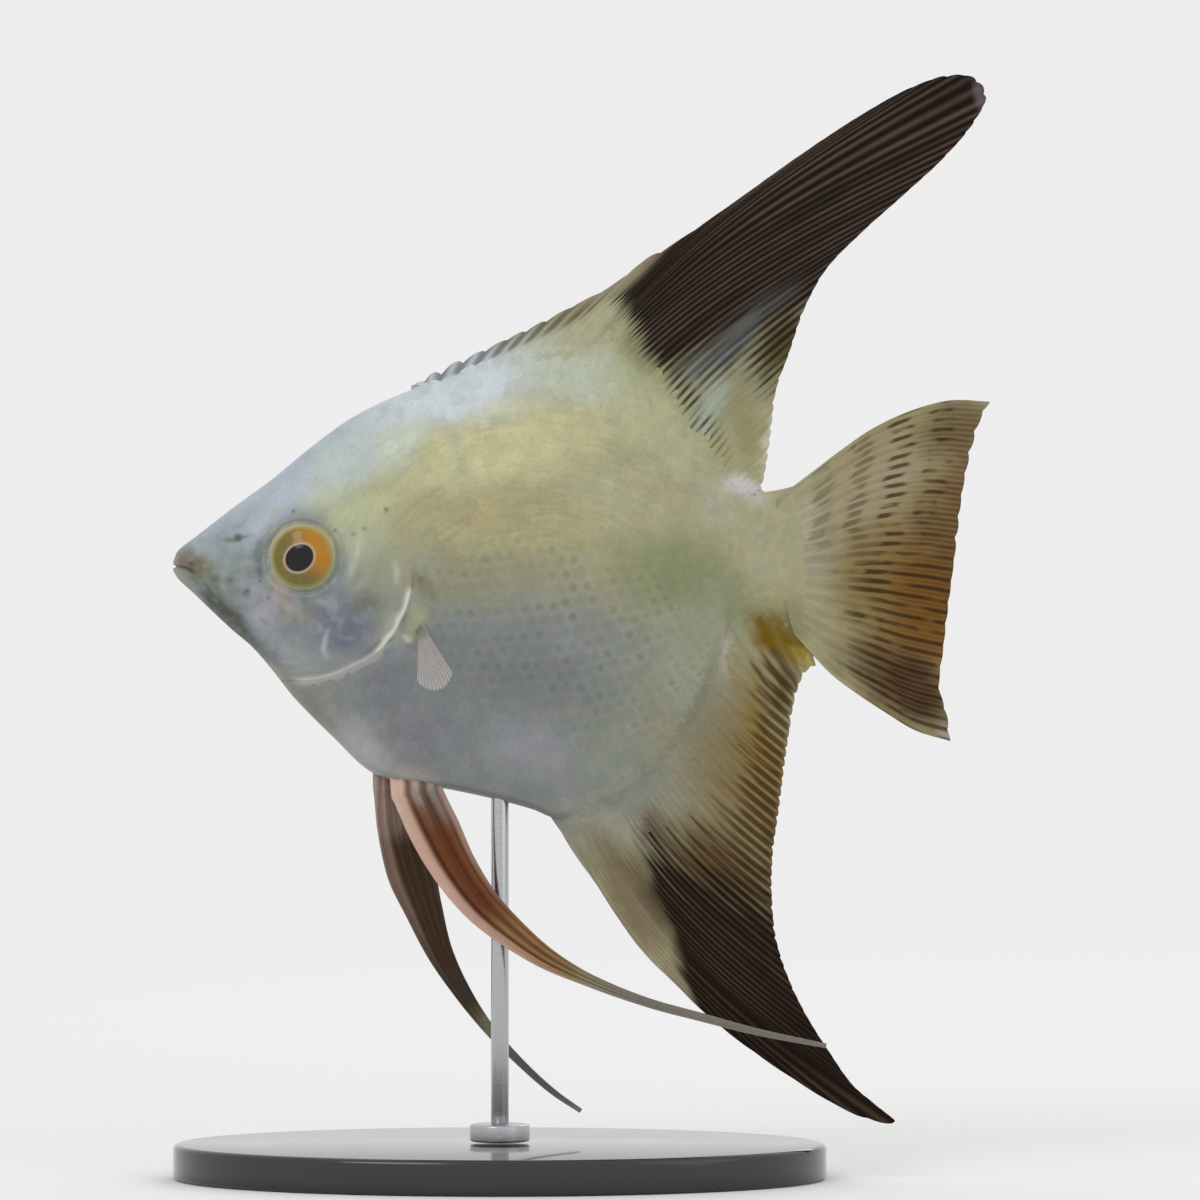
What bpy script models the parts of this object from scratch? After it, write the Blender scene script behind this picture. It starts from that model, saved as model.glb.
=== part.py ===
"""Adult freshwater angelfish (Pterophyllum scalare) at life size, as a still museum model on a plain stand.

The fish swims towards -X with its left side facing -Y, and +Z is up. The origin is on the floor, under the
middle of the fish. Lengths are in millimetres and are turned to metres by place() and by MM.

The outlines are drawn in the fish's own side view: x runs back from the tip of the snout and z up from the
body's axis, which joins the mouth and the middle of the tail stalk.
"""

import math

import bmesh
import bpy
import numpy as np
from mathutils import Vector

MM = 0.001

# Driving dimensions
TOTAL_LENGTH = 115.0  # snout to the end of the tail fin
GAP = 0.3  # between any two neighbouring pieces
FIN_EDGE = 0.55  # thickness of every fin at its margin
BASE_THICKNESS = 5.0
BASE_LENGTH = 92.0
BASE_WIDTH = 62.0
BASE_BEVEL = 0.8
TIP_CLEARANCE = 3.0  # from the stand's base up to the lowest fin tip
ROD_RADIUS = 1.25
ROD_DEPTH = 6.0  # how far the rod goes up into the belly
ROD_X = 46.0  # under the centre of mass, behind the snout
COLLAR_RADIUS = 4.2
COLLAR_HEIGHT = 2.4

# The body's outline in side view: (x, z) from the snout to the tail fin
BACK_LINE = [
    (0.0, -0.2), (0.5, 1.1), (1.4, 2.0), (3.0, 3.2), (8.3, 7.3), (13.9, 11.4), (19.6, 16.1), (25.2, 20.1),
    (30.8, 22.9), (36.5, 25.1), (43.2, 27.6), (48.9, 29.4), (54.0, 29.9), (61.0, 27.9), (68.6, 22.7),
    (74.2, 16.6), (79.0, 10.9), (82.5, 9.5), (86.9, 10.2), (91.0, 12.2),
]
BELLY_LINE = [
    (0.0, -1.5), (0.6, -2.5), (2.7, -4.5), (8.3, -9.8), (11.1, -12.2), (13.9, -15.4), (16.8, -19.1),
    (22.4, -24.8), (28.0, -29.9), (32.0, -31.4), (37.6, -32.1), (44.9, -33.6), (50.5, -35.1),
    (54.5, -36.5), (58.5, -36.1), (63.5, -33.4), (68.5, -28.9), (73.0, -22.9), (76.5, -15.4),
    (79.0, -8.0), (82.5, -7.6), (87.3, -10.8), (91.0, -14.4),
]
# Half of the body's greatest width at each x
HALF_WIDTH = [
    (0.0, 0.9), (0.7, 1.5), (2.0, 2.2), (5.0, 3.2), (10.0, 4.4), (15.0, 5.4), (20.0, 6.1), (26.0, 6.6),
    (33.0, 6.9), (40.0, 6.7), (48.0, 6.1), (56.0, 5.2), (64.0, 4.3), (72.0, 3.3), (79.0, 2.6),
    (85.0, 1.9), (91.0, 1.0),
]
# Half of the thickness left at the back's ridge and at the belly's keel
RIDGE_HALF = [(0.0, 0.5), (3.0, 0.9), (15.0, 1.1), (30.0, 0.9), (45.0, 0.8), (79.0, 0.8), (91.0, 0.6)]
KEEL_HALF = [
    (0.0, 0.5), (4.0, 0.9), (18.0, 1.2), (30.0, 2.0), (47.0, 1.9), (54.0, 0.9), (79.0, 0.8), (91.0, 0.6),
]
SECTION_POWER, SECTION_ROUND = 2.1, 0.85  # the cross-section is a lens between an ellipse and a parabola

# The gill opening, from the nape down behind the gill cover to the throat
GILL_LINE = [
    (28.4, 23.5), (28.6, 17.0), (29.6, 12.0), (31.6, 7.0), (33.4, 2.0), (33.9, -2.0), (33.3, -6.0),
    (31.3, -10.3), (28.7, -13.2), (25.7, -14.9), (22.4, -16.3), (18.9, -16.9), (16.4, -16.8),
    (13.4, -17.4),
]
# The front edge of the gill cover, from its lower corner up
CHEEK_LINE = [
    (21.0, -14.6), (21.3, -11.5), (22.2, -8.6), (24.4, -4.0), (25.6, 1.0), (26.6, 5.0), (28.6, 8.6),
]
STALK_LINE = [(79.0, 14.0), (79.6, 5.0), (79.9, 1.0), (79.6, -4.0), (78.6, -12.0)]
TAIL_ROOT_LINE = [(86.6, 12.5), (87.2, 6.0), (87.5, 0.0), (87.9, -6.0), (90.2, -16.0)]
JAW_LINE = [
    (-1.0, -0.55), (1.6, -0.75), (3.0, -1.5), (5.6, -4.6), (9.4, -8.9), (11.6, -12.0), (12.2, -15.5),
]

EYE_X, EYE_Z = 18.4, 0.4
EYE_RADIUS = 4.9
EYE_HALF_DEPTH = 3.0
EYE_CENTRE_Y = 3.9
EYE_FORWARD_TURN = 7.0  # degrees, as the head narrows to the snout
GILL_PLATE_DEPTH = 0.9
GILL_PLATE_PROUD = 0.35


def smooth_slopes(ts, values, limited):
    """Slopes for a cubic through the points; limited ones never overshoot."""
    rise = np.diff(values, axis=0) / np.diff(ts)
    slopes = np.empty_like(values)
    slopes[0], slopes[-1] = rise[0], rise[-1]
    before, after = rise[:-1], rise[1:]
    if limited:
        total = before + after
        turning = (before * after <= 0) | (total == 0)
        slopes[1:-1] = np.where(turning, 0.0, 2 * before * after / np.where(turning, 1.0, total))
    else:
        slopes[1:-1] = (before + after) / 2
    return slopes


def cubic(ts, values, limited=True):
    """A smooth function through values at the increasing parameters ts."""
    ts, values = np.asarray(ts, float), np.asarray(values, float)
    slopes = smooth_slopes(ts, values, limited)

    def at(t):
        t = np.clip(t, ts[0], ts[-1])
        i = np.clip(np.searchsorted(ts, t, side="right") - 1, 0, len(ts) - 2)
        span = ts[i + 1] - ts[i]
        f = (t - ts[i]) / span
        return (
            values[i] * (1 + 2 * f) * (1 - f) ** 2
            + values[i + 1] * f * f * (3 - 2 * f)
            + slopes[i] * span * f * (1 - f) ** 2
            - slopes[i + 1] * span * f * f * (1 - f)
        )

    return at


def function_of_x(points):
    return cubic([p[0] for p in points], [p[1] for p in points])


def path_through(points, count):
    """count points evenly spaced along a smooth path through the given (x, z) points."""
    points = np.array(points, float)
    chords = np.concatenate([[0.0], np.cumsum(np.hypot(*np.diff(points, axis=0).T))])
    along_x = cubic(chords, points[:, 0], limited=False)
    along_z = cubic(chords, points[:, 1], limited=False)
    fine = np.linspace(0.0, chords[-1], 40 * len(points))
    drawn = np.column_stack([along_x(fine), along_z(fine)])
    lengths = np.concatenate([[0.0], np.cumsum(np.hypot(*np.diff(drawn, axis=0).T))])
    even = np.linspace(0.0, lengths[-1], count)
    return np.column_stack([np.interp(even, lengths, drawn[:, k]) for k in range(2)])


back_z = function_of_x(BACK_LINE)
belly_z = function_of_x(BELLY_LINE)
half_width_at = function_of_x(HALF_WIDTH)
ridge_half_at = function_of_x(RIDGE_HALF)
keel_half_at = function_of_x(KEEL_HALF)

DEEPEST_TIP = 79.1  # the anal fin's tip, below the body's axis
AXIS_Z = BASE_THICKNESS + TIP_CLEARANCE + DEEPEST_TIP
SNOUT_X = -TOTAL_LENGTH / 2


def place(x, y, z):
    """A point of the fish's own drawing, in metres in the part's frame."""
    return Vector((SNOUT_X + x, y, AXIS_Z + z)) * MM


def half_thickness(x, z):
    """Half of the body's thickness at a point of its side view."""
    top, bottom = back_z(x), belly_z(x)
    v = np.clip((z - bottom) / (top - bottom) * 2 - 1, -1.0, 1.0)
    edge = ridge_half_at(x) if v > 0 else keel_half_at(x)
    lens = (1 - abs(v) ** SECTION_POWER) ** SECTION_ROUND
    return edge + (max(half_width_at(x), edge) - edge) * lens


# ---- objects, collections and materials


def clear_scene():
    for obj in list(bpy.data.objects):
        bpy.data.objects.remove(obj, do_unlink=True)


def collection_named(name):
    made = bpy.data.collections.new(name)
    bpy.context.scene.collection.children.link(made)
    return made


clear_scene()
PARTS = collection_named("freshwater_angelfish")
CUTTERS = collection_named("cutters")


def material(name, colour, roughness, metallic=0.0):
    made = bpy.data.materials.new(name)
    made.use_nodes = True
    shader = made.node_tree.nodes["Principled BSDF"]
    shader.inputs["Base Color"].default_value = (*colour, 1.0)
    shader.inputs["Roughness"].default_value = roughness
    shader.inputs["Metallic"].default_value = metallic
    return made


SKIN = material("skin", (0.42, 0.42, 0.28), 0.35)
HEAD_SKIN = material("head_skin", (0.37, 0.40, 0.40), 0.32)
GILL_SKIN = material("gill_cover_skin", (0.20, 0.22, 0.27), 0.28)
TAIL_FIN_SKIN = material("tail_fin_skin", (0.21, 0.15, 0.07), 0.45)
DARK_FIN_SKIN = material("dark_fin_skin", (0.035, 0.022, 0.016), 0.45)
RAY_FIN_SKIN = material("pelvic_fin_skin", (0.20, 0.09, 0.05), 0.45)
CLEAR_FIN_SKIN = material("pectoral_fin_skin", (0.50, 0.49, 0.40), 0.40)
EYE_GOLD = material("eye_gold", (0.48, 0.24, 0.02), 0.08)
BLACK_ACRYLIC = material("black_acrylic", (0.012, 0.012, 0.013), 0.18)
STEEL = material("steel", (0.55, 0.56, 0.58), 0.28, 1.0)


def new_object(name, mesh, collection=None, finish=None):
    obj = bpy.data.objects.new(name, mesh)
    (collection or PARTS).objects.link(obj)
    if finish:
        mesh.materials.append(finish)
    return obj


def mesh_from(name, bm):
    bmesh.ops.recalc_face_normals(bm, faces=bm.faces)
    mesh = bpy.data.meshes.new(name)
    bm.to_mesh(mesh)
    bm.free()
    return mesh


def as_cutter(obj):
    obj.hide_render = True
    obj.display_type = "WIRE"
    return obj


def cut_by(obj, cutter, operation="DIFFERENCE"):
    modifier = obj.modifiers.new(cutter.name, "BOOLEAN")
    modifier.operation = operation
    modifier.object = cutter


def applied(obj):
    """Replaces obj's mesh by the evaluated one, so that it can be parted."""
    bpy.context.view_layer.update()
    graph = bpy.context.evaluated_depsgraph_get()
    mesh = bpy.data.meshes.new_from_object(obj.evaluated_get(graph))
    obj.modifiers.clear()
    obj.data = mesh
    return obj


def shade_by_angle(obj, degrees=40.0):
    obj.data.shade_smooth()
    obj.data.set_sharp_from_angle(angle=math.radians(degrees))


def grid_sheet(columns, rows, point_at):
    """An open sheet of columns by rows faces, each vertex moved to point_at(u, v), with u and v from 0 to 1."""
    bm = bmesh.new()
    bmesh.ops.create_grid(bm, x_segments=columns, y_segments=rows, size=0.5)
    for vert in bm.verts:
        vert.co = point_at(vert.co.x + 0.5, vert.co.y + 0.5)
    return bm


# ---- head, trunk and tail stalk: one whole body, parted by thin cuts


BODY_COLUMNS, BODY_ROWS = 42, 12
BODY_END = 91.0


def body_x(u):
    """How far back a share u of the columns reaches; they stand closer at the snout."""
    return BODY_END * (0.55 * u + 0.45 * u * u)


def body_point(u, v):
    """A point of the left flank: u from the snout to past the tail root, v from the belly to the back."""
    x = body_x(u)
    height = 0.5 - 0.5 * math.cos(math.pi * v)
    height = 0.55 * height + 0.45 * v
    z = belly_z(x) + (back_z(x) - belly_z(x)) * height
    return place(x, -half_thickness(x, z), z)


def whole_body():
    """The left half as a sheet whose rim runs to the middle plane, mirrored to the right half."""
    bm = grid_sheet(BODY_COLUMNS, BODY_ROWS, body_point)
    rim = [e for e in bm.edges if e.is_boundary]
    grown = bmesh.ops.extrude_edge_only(bm, edges=rim)["geom"]
    for vert in (g for g in grown if isinstance(g, bmesh.types.BMVert)):
        vert.co.y = 0.0
    body = new_object("whole_body", mesh_from("whole_body", bm), finish=SKIN)
    mirror = body.modifiers.new("mirror", "MIRROR")
    mirror.use_axis = (False, True, False)
    mirror.merge_threshold = 0.00001
    return body


def cutting_wall(name, line, count):
    """A wall as thick as the gap, standing across the whole body on a line of its side view."""
    bm = bmesh.new()
    path = path_through(line, count)
    verts = [bm.verts.new(place(x, -20.0, z)) for x, z in path]
    edges = [bm.edges.new(pair) for pair in zip(verts, verts[1:])]
    grown = bmesh.ops.extrude_edge_only(bm, edges=edges)["geom"]
    for vert in (g for g in grown if isinstance(g, bmesh.types.BMVert)):
        vert.co.y = 20.0 * MM
    wall = new_object(name, mesh_from(name, bm), CUTTERS)
    thicken = wall.modifiers.new("thickness", "SOLIDIFY")
    thicken.thickness = GAP * MM
    thicken.offset = 0.0
    return as_cutter(applied(wall))


def loose_parts(obj):
    """The separate bodies of a mesh, each as a mesh of its own, from the front to the back."""
    bm = bmesh.new()
    bm.from_mesh(obj.data)
    left = set(bm.verts)
    found = []
    while left:
        island, todo = set(), [left.pop()]
        while todo:
            vert = todo.pop()
            island.add(vert)
            near = {e.other_vert(vert) for e in vert.link_edges} - island
            todo += list(near & left)
            left -= near
        found.append({v.index for v in island})
    found.sort(key=lambda s: sum(obj.data.vertices[i].co.x for i in s) / len(s))
    meshes = []
    for indices in found:
        part = bm.copy()
        part.verts.ensure_lookup_table()
        bmesh.ops.delete(part, geom=[v for v in part.verts if v.index not in indices], context="VERTS")
        meshes.append(mesh_from("body_part", part))
    bm.free()
    return meshes


def parted_body():
    """The lower jaw, head, trunk and tail stalk, cut from one whole body."""
    body = whole_body()
    walls = (
        ("gill_cut", GILL_LINE, 26),
        ("stalk_cut", STALK_LINE, 8),
        ("tail_cut", TAIL_ROOT_LINE, 8),
        ("jaw_cut", JAW_LINE, 10),
    )
    for name, line, count in walls:
        cut_by(body, cutting_wall(name, line, count))
    applied(body)
    meshes = loose_parts(body)
    bpy.data.objects.remove(body)
    finishes = {"lower_jaw": HEAD_SKIN, "head": HEAD_SKIN, "trunk": SKIN, "tail_stalk": SKIN}
    made = {}
    for (name, finish), mesh in zip(finishes.items(), meshes):
        mesh.materials.clear()
        made[name] = new_object(name, mesh, finish=finish)
    return made


# ---- eyes and gill covers


def ellipsoid(name, grow, collection, side, finish=None):
    """An eyeball, or its socket when it grows by the gap. side is -1 for the left, +1 for the right."""
    bm = bmesh.new()
    bmesh.ops.create_uvsphere(bm, u_segments=20, v_segments=10, radius=1.0)
    radii = Vector((EYE_RADIUS + grow, EYE_RADIUS + grow, EYE_HALF_DEPTH + grow)) * MM
    bmesh.ops.scale(bm, vec=radii, verts=bm.verts)
    obj = new_object(name, mesh_from(name, bm), collection, finish)
    obj.location = place(EYE_X, side * EYE_CENTRE_Y, EYE_Z)
    obj.rotation_euler = (math.radians(90.0), 0.0, math.radians(-side * EYE_FORWARD_TURN))
    return obj


def gill_plate_sheet(grow):
    """The left gill cover's outer face, from the cheek to the gill opening. The pocket's grows by the gap."""
    rear_x = cubic([z for _, z in GILL_LINE[10:1:-1]], [x for x, _ in GILL_LINE[10:1:-1]])
    front_x = cubic([z for _, z in CHEEK_LINE], [x for x, _ in CHEEK_LINE])
    low, high = CHEEK_LINE[0][1] - grow, CHEEK_LINE[-1][1] + grow

    def point(u, v):
        z = low + (high - low) * v
        front, back = float(front_x(z)) - grow, float(rear_x(z)) - GAP / 2 + 2 * grow
        x = front + (back - front) * u
        proud = GILL_PLATE_PROUD * (0.3 + 0.7 * u) + 3 * grow
        return place(x, -half_thickness(x, z) - proud, z)

    return grid_sheet(5, 8, point)


def gill_cover(name, side, grow=0.0, collection=None, finish=None):
    """A gill cover as a plate of even thickness, or the pocket that it lies in."""
    obj = new_object(name, mesh_from(name, gill_plate_sheet(grow)), collection, finish)
    thicken = obj.modifiers.new("thickness", "SOLIDIFY")
    thicken.thickness = (GILL_PLATE_DEPTH + GILL_PLATE_PROUD + grow * 4) * MM
    thicken.offset = -1.0 if obj.data.polygons[0].normal.y < 0 else 1.0
    if side > 0:
        applied(obj)
        for vert in obj.data.vertices:
            vert.co.y = -vert.co.y
        obj.data.flip_normals()
    return obj


def head_fittings(head):
    """Eyes in their sockets, and gill covers in their pockets."""
    for word, side in (("left", -1), ("right", 1)):
        socket = ellipsoid("socket_" + word, GAP, CUTTERS, side)
        cut_by(head, as_cutter(socket))
        pocket = gill_cover("pocket_" + word, side, GAP, CUTTERS)
        cut_by(head, as_cutter(pocket))
        shade_by_angle(ellipsoid("eye_" + word, 0.0, PARTS, side, EYE_GOLD), 80.0)
        gill_cover("gill_cover_" + word, side, finish=GILL_SKIN)


# ---- fins


def thickened(name, sheet, finish, root, edge=FIN_EDGE):
    """A fin sheet as a solid: root is its greatest thickness, and the sheet's layer has each vertex's share."""
    shares = [v[sheet.verts.layers.float["share"]] for v in sheet.verts]
    obj = new_object(name, mesh_from(name, sheet), finish=finish)
    group = obj.vertex_groups.new(name="thickness")
    for index, share in enumerate(shares):
        group.add([index], share, "REPLACE")
    thicken = obj.modifiers.new("thickness", "SOLIDIFY")
    thicken.thickness = root * MM
    thicken.offset = 0.0
    thicken.use_even_offset = False
    thicken.vertex_group = group.name
    thicken.thickness_vertex_group = edge / root
    return obj


def fin_sheet(rays, rows, point_at, ray_share=0.45):
    """A sheet with a column on each ray and one on each membrane between. The rays stand out as ridges."""
    columns = 2 * rays - 2
    bm = bmesh.new()
    bmesh.ops.create_grid(bm, x_segments=columns, y_segments=rows, size=0.5)
    layer = bm.verts.layers.float.new("share")
    for vert in bm.verts:
        s, r = vert.co.x + 0.5, vert.co.y + 0.5
        on_ray = round(s * columns) % 2 == 0
        taper = (1.0 - r) ** 1.4
        vert[layer] = min(1.0, taper + (ray_share * (1.0 - r) if on_ray else 0.0))
        vert.co = point_at(s, r, on_ray)
    return bm


def edge_path(height_at, x_start, x_end, lift):
    """The faceted edge of the body from x_start to x_end, moved outwards by lift."""
    xs = np.array([body_x(column / BODY_COLUMNS) for column in range(BODY_COLUMNS + 1)])
    corners = np.column_stack([xs, [float(height_at(x)) for x in xs]])
    runs = np.diff(corners, axis=0)
    runs /= np.linalg.norm(runs, axis=1, keepdims=True)
    before, after = np.vstack([runs[:1], runs]), np.vstack([runs, runs[-1:]])
    mitre = before + after
    mitre /= (1 + np.sum(before * after, axis=1))[:, None]
    moved = corners + np.column_stack([-mitre[:, 1], mitre[:, 0]]) * lift
    inside = (moved[:, 0] > x_start) & (moved[:, 0] < x_end)
    ends = [[x, np.interp(x, moved[:, 0], moved[:, 1])] for x in (x_start, x_end)]
    return np.vstack([ends[:1], moved[inside], ends[1:]])


def along(points, share):
    """The point of a path at a share of its length."""
    lengths = np.concatenate([[0.0], np.cumsum(np.hypot(*np.diff(points, axis=0).T))])
    return np.array([np.interp(share * lengths[-1], lengths, points[:, k]) for k in range(2)])


def median_fin(name, base, margin, ray_plan, bow, rays, finish, sway, root):
    """A dorsal or anal fin: curved rays from the base to the margin.

    ray_plan steps evenly through the rays. Each entry has the share of the base's length where a ray starts
    and the share of the margin's length where it ends. bow is how far the longest ray bends off its chord.
    """
    steps = np.linspace(0.0, 1.0, len(ray_plan))
    foot_share = cubic(steps, [p[0] for p in ray_plan])
    tip_share = cubic(steps, [p[1] for p in ray_plan])

    def point(s, r, on_ray):
        foot = along(base, float(foot_share(s)))
        reach = along(margin, float(tip_share(s))) - foot
        length = max(np.hypot(*reach), 0.01)
        forward = np.array([-reach[1], reach[0]]) / length
        bend = bow * (length / LONGEST_RAY) ** 1.5 * math.sin(math.pi * r**0.8)
        short = 0.0 if on_ray else min(0.45, 0.2 * length)
        at = foot + reach * (r * (length - short) / length) + forward * bend
        side = sway * (r * length / 40.0) ** 2 * math.sin(2.2 * s + 0.6)
        return place(at[0], side, at[1])

    return thickened(name, fin_sheet(rays, FIN_ROWS, point), finish, root)


LONGEST_RAY = 65.0
FIN_ROWS = 5
DORSAL_MARGIN = [
    (33.5, 24.6), (37.5, 26.9), (44.0, 29.8), (50.5, 32.9), (56.0, 35.7), (62.0, 38.9), (66.8, 42.6),
    (71.0, 45.0), (79.0, 50.5), (89.0, 57.6), (98.0, 63.5), (104.5, 67.0), (109.7, 68.6), (113.2, 68.1),
    (114.7, 65.8), (113.4, 62.6), (109.0, 57.2), (103.0, 51.6), (97.2, 46.4), (92.0, 41.0), (88.9, 35.4),
    (86.9, 29.6), (84.9, 23.9), (84.2, 18.3), (83.5, 13.2), (82.8, 9.9),
]
DORSAL_RAYS = [
    (0.0, 0.0), (0.10, 0.05), (0.19, 0.095), (0.275, 0.14), (0.35, 0.195), (0.405, 0.28), (0.435, 0.38),
    (0.453, 0.48), (0.467, 0.555), (0.49, 0.61), (0.535, 0.67), (0.605, 0.74), (0.69, 0.80),
    (0.775, 0.855), (0.86, 0.905), (0.94, 0.955), (1.0, 1.0),
]
ANAL_MARGIN = [
    (52.6, -36.4), (55.6, -40.0), (58.6, -44.4), (62.6, -49.6), (66.0, -55.0), (70.2, -59.2),
    (75.0, -63.9), (80.6, -68.4), (87.0, -72.8), (93.6, -76.8), (98.6, -78.9), (101.8, -79.1),
    (99.6, -77.2), (96.0, -74.2), (92.2, -68.9), (88.8, -63.4), (86.4, -58.2), (84.9, -53.2),
    (84.3, -46.6), (84.5, -40.8), (85.3, -35.2), (86.0, -29.6), (86.8, -23.9), (87.8, -18.6),
    (89.2, -15.6), (90.5, -14.8),
]
ANAL_RAYS = [
    (0.0, 0.0), (0.03, 0.12), (0.06, 0.26), (0.085, 0.39), (0.108, 0.4815), (0.135, 0.535), (0.17, 0.585),
    (0.215, 0.635), (0.27, 0.685), (0.335, 0.73), (0.405, 0.775), (0.48, 0.82), (0.555, 0.86),
    (0.635, 0.90), (0.73, 0.935), (0.86, 0.97), (1.0, 1.0),
]


def dorsal_fin():
    base = edge_path(back_z, 33.2, 82.2, GAP)
    margin = path_through(DORSAL_MARGIN, 400)
    return median_fin("dorsal_fin", base, margin, DORSAL_RAYS, 3.4, 23, DARK_FIN_SKIN, 1.2, 1.5)


def anal_fin():
    base = edge_path(belly_z, 53.2, 89.4, -GAP)
    margin = path_through(ANAL_MARGIN, 400)
    return median_fin("anal_fin", base, margin, ANAL_RAYS, -5.2, 23, DARK_FIN_SKIN, -1.0, 1.5)


TAIL_UPPER_EDGE = [
    (86.9, 10.3), (89.8, 12.3), (93.6, 15.2), (98.4, 18.5), (104.0, 21.1), (109.4, 22.5), (115.0, 22.3),
]
TAIL_LOWER_EDGE = [
    (90.4, -13.9), (92.6, -16.0), (96.0, -18.6), (100.4, -21.5), (104.6, -24.0), (109.5, -25.5),
]
TAIL_TRAILING_EDGE = [
    (115.0, 22.3), (113.6, 19.6), (112.4, 15.6), (111.2, 9.9), (110.4, 3.0), (109.5, -4.2),
    (108.5, -12.7), (108.0, -18.0), (109.0, -21.6), (109.5, -25.5),
]


def tail_fin():
    """A fan between four edges: each point blends the upper and lower edges with the root and the end."""
    root = path_through(TAIL_ROOT_LINE, 60)
    root = root[(root[:, 1] < 10.2) & (root[:, 1] > -13.8)] + np.array([GAP / 2 + 0.05, 0.0])
    edges = [path_through(line, 120) for line in (TAIL_UPPER_EDGE, TAIL_LOWER_EDGE, TAIL_TRAILING_EDGE)]
    upper, lower, trailing = edges

    def point(s, r, on_ray):
        reach = r if on_ray else r * 0.982
        across = along(root, s) * (1 - reach) + along(trailing, s) * reach
        lengthwise = along(upper, reach) * (1 - s) + along(lower, reach) * s
        corners = (along(root, 0) * (1 - s) + along(root, 1) * s) * (1 - reach)
        corners += (along(trailing, 0) * (1 - s) + along(trailing, 1) * s) * reach
        at = across + lengthwise - corners
        return place(at[0], 1.3 * r * r * math.sin(3.0 * s - 0.9), at[1])

    return thickened("tail_fin", fin_sheet(12, 5, point), TAIL_FIN_SKIN, 1.3)


# The pelvic fins: x and z down the middle of each fin, its width there, and how far it stands out sideways
LEFT_PELVIC = [
    (34.2, -32.4, 6.6, 1.7), (36.6, -37.4, 7.0, 2.7), (39.8, -43.4, 6.2, 3.7), (43.6, -48.5, 5.2, 4.5),
    (47.9, -52.4, 4.1, 5.0), (52.6, -55.8, 2.9, 5.4), (58.7, -58.9, 1.7, 5.6), (66.9, -62.0, 1.2, 5.6),
    (74.2, -64.0, 1.1, 5.4), (81.7, -66.0, 0.9, 5.1), (91.8, -68.1, 0.6, 4.6),
]
RIGHT_PELVIC = [
    (31.1, -31.4, 5.4, 1.7), (31.9, -37.6, 6.3, 2.9), (33.3, -43.6, 6.7, 3.9), (35.2, -49.5, 5.2, 4.7),
    (37.4, -55.4, 3.6, 5.3), (40.4, -60.8, 2.4, 5.7), (44.4, -66.4, 1.5, 6.0), (49.3, -71.6, 1.0, 6.2),
    (53.6, -75.4, 0.8, 6.2), (57.4, -78.0, 0.6, 6.0),
]


def pelvic_fin(name, stations, side):
    """A long blade that narrows to a thread, cupped across and swept along its own curve."""
    stations = np.array(stations)
    chords = np.concatenate([[0.0], np.cumsum(np.hypot(*np.diff(stations[:, :2], axis=0).T))])
    share = chords / chords[-1]
    x_at, z_at = (cubic(share, stations[:, k], limited=False) for k in (0, 1))
    width_at, out_at = (cubic(share, stations[:, k]) for k in (2, 3))
    step = 0.01

    def point(s, r, on_ray):
        ahead, behind = min(1.0, r + step), max(0.0, r - step)
        run = np.array([x_at(ahead) - x_at(behind), z_at(ahead) - z_at(behind)])
        run /= np.hypot(*run)
        if r < 0.1:  # the root lies along the belly
            blend = (0.1 - r) / 0.1
            run = run * (1 - blend) + np.array([0.17, -0.985]) * blend
            run /= np.hypot(*run)
        across = (s - 0.5) * float(width_at(r))
        x = float(x_at(r)) - run[1] * across
        z = float(z_at(r)) + run[0] * across
        z = float(belly_z(x)) - GAP - 0.15 if r == 0.0 else z
        cup = 0.5 * float(width_at(r)) / 6.0 * (2 * s - 1) ** 2
        return place(x, side * (float(out_at(r)) - cup), z)

    return thickened(name, fin_sheet(3, 16, point), RAY_FIN_SKIN, 1.1)


PECTORAL_LENGTH = 15.0
PECTORAL_RAYS = 7
PECTORAL_ROOT = (35.0, -9.4)


def pectoral_fin(name, side):
    """A rounded fan held out and back from the flank, its root just behind the gill cover."""
    root_x, root_z = PECTORAL_ROOT
    root_y = half_thickness(root_x, root_z) + 0.75

    def point(s, r, on_ray):
        spread = math.radians(-128.0 + 62.0 * s)
        length = PECTORAL_LENGTH * (0.74 + 0.26 * math.sin(math.pi * (0.15 + 0.75 * s)))
        length -= 0.0 if on_ray else 0.3
        start = 1.9 * (s - 0.5)
        reach = r * length
        fan_x = math.cos(spread) * reach + start * 0.35
        fan_z = math.sin(spread) * reach + start
        outwards = 0.86 * reach - 0.012 * reach * reach
        return place(root_x + 0.6 * fan_x + 0.2 * reach, side * (root_y + outwards), root_z + 0.58 * fan_z)

    return thickened(name, fin_sheet(PECTORAL_RAYS, 4, point), CLEAR_FIN_SKIN, 0.9)


# ---- stand


def cylinder(name, radius, height, bottom, x, collection=None, finish=None, segments=32):
    bm = bmesh.new()
    bmesh.ops.create_cone(
        bm, cap_ends=True, segments=segments, radius1=radius * MM, radius2=radius * MM, depth=height * MM
    )
    obj = new_object(name, mesh_from(name, bm), collection, finish)
    obj.location = (x * MM, 0.0, (bottom + height / 2) * MM)
    return obj


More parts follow.
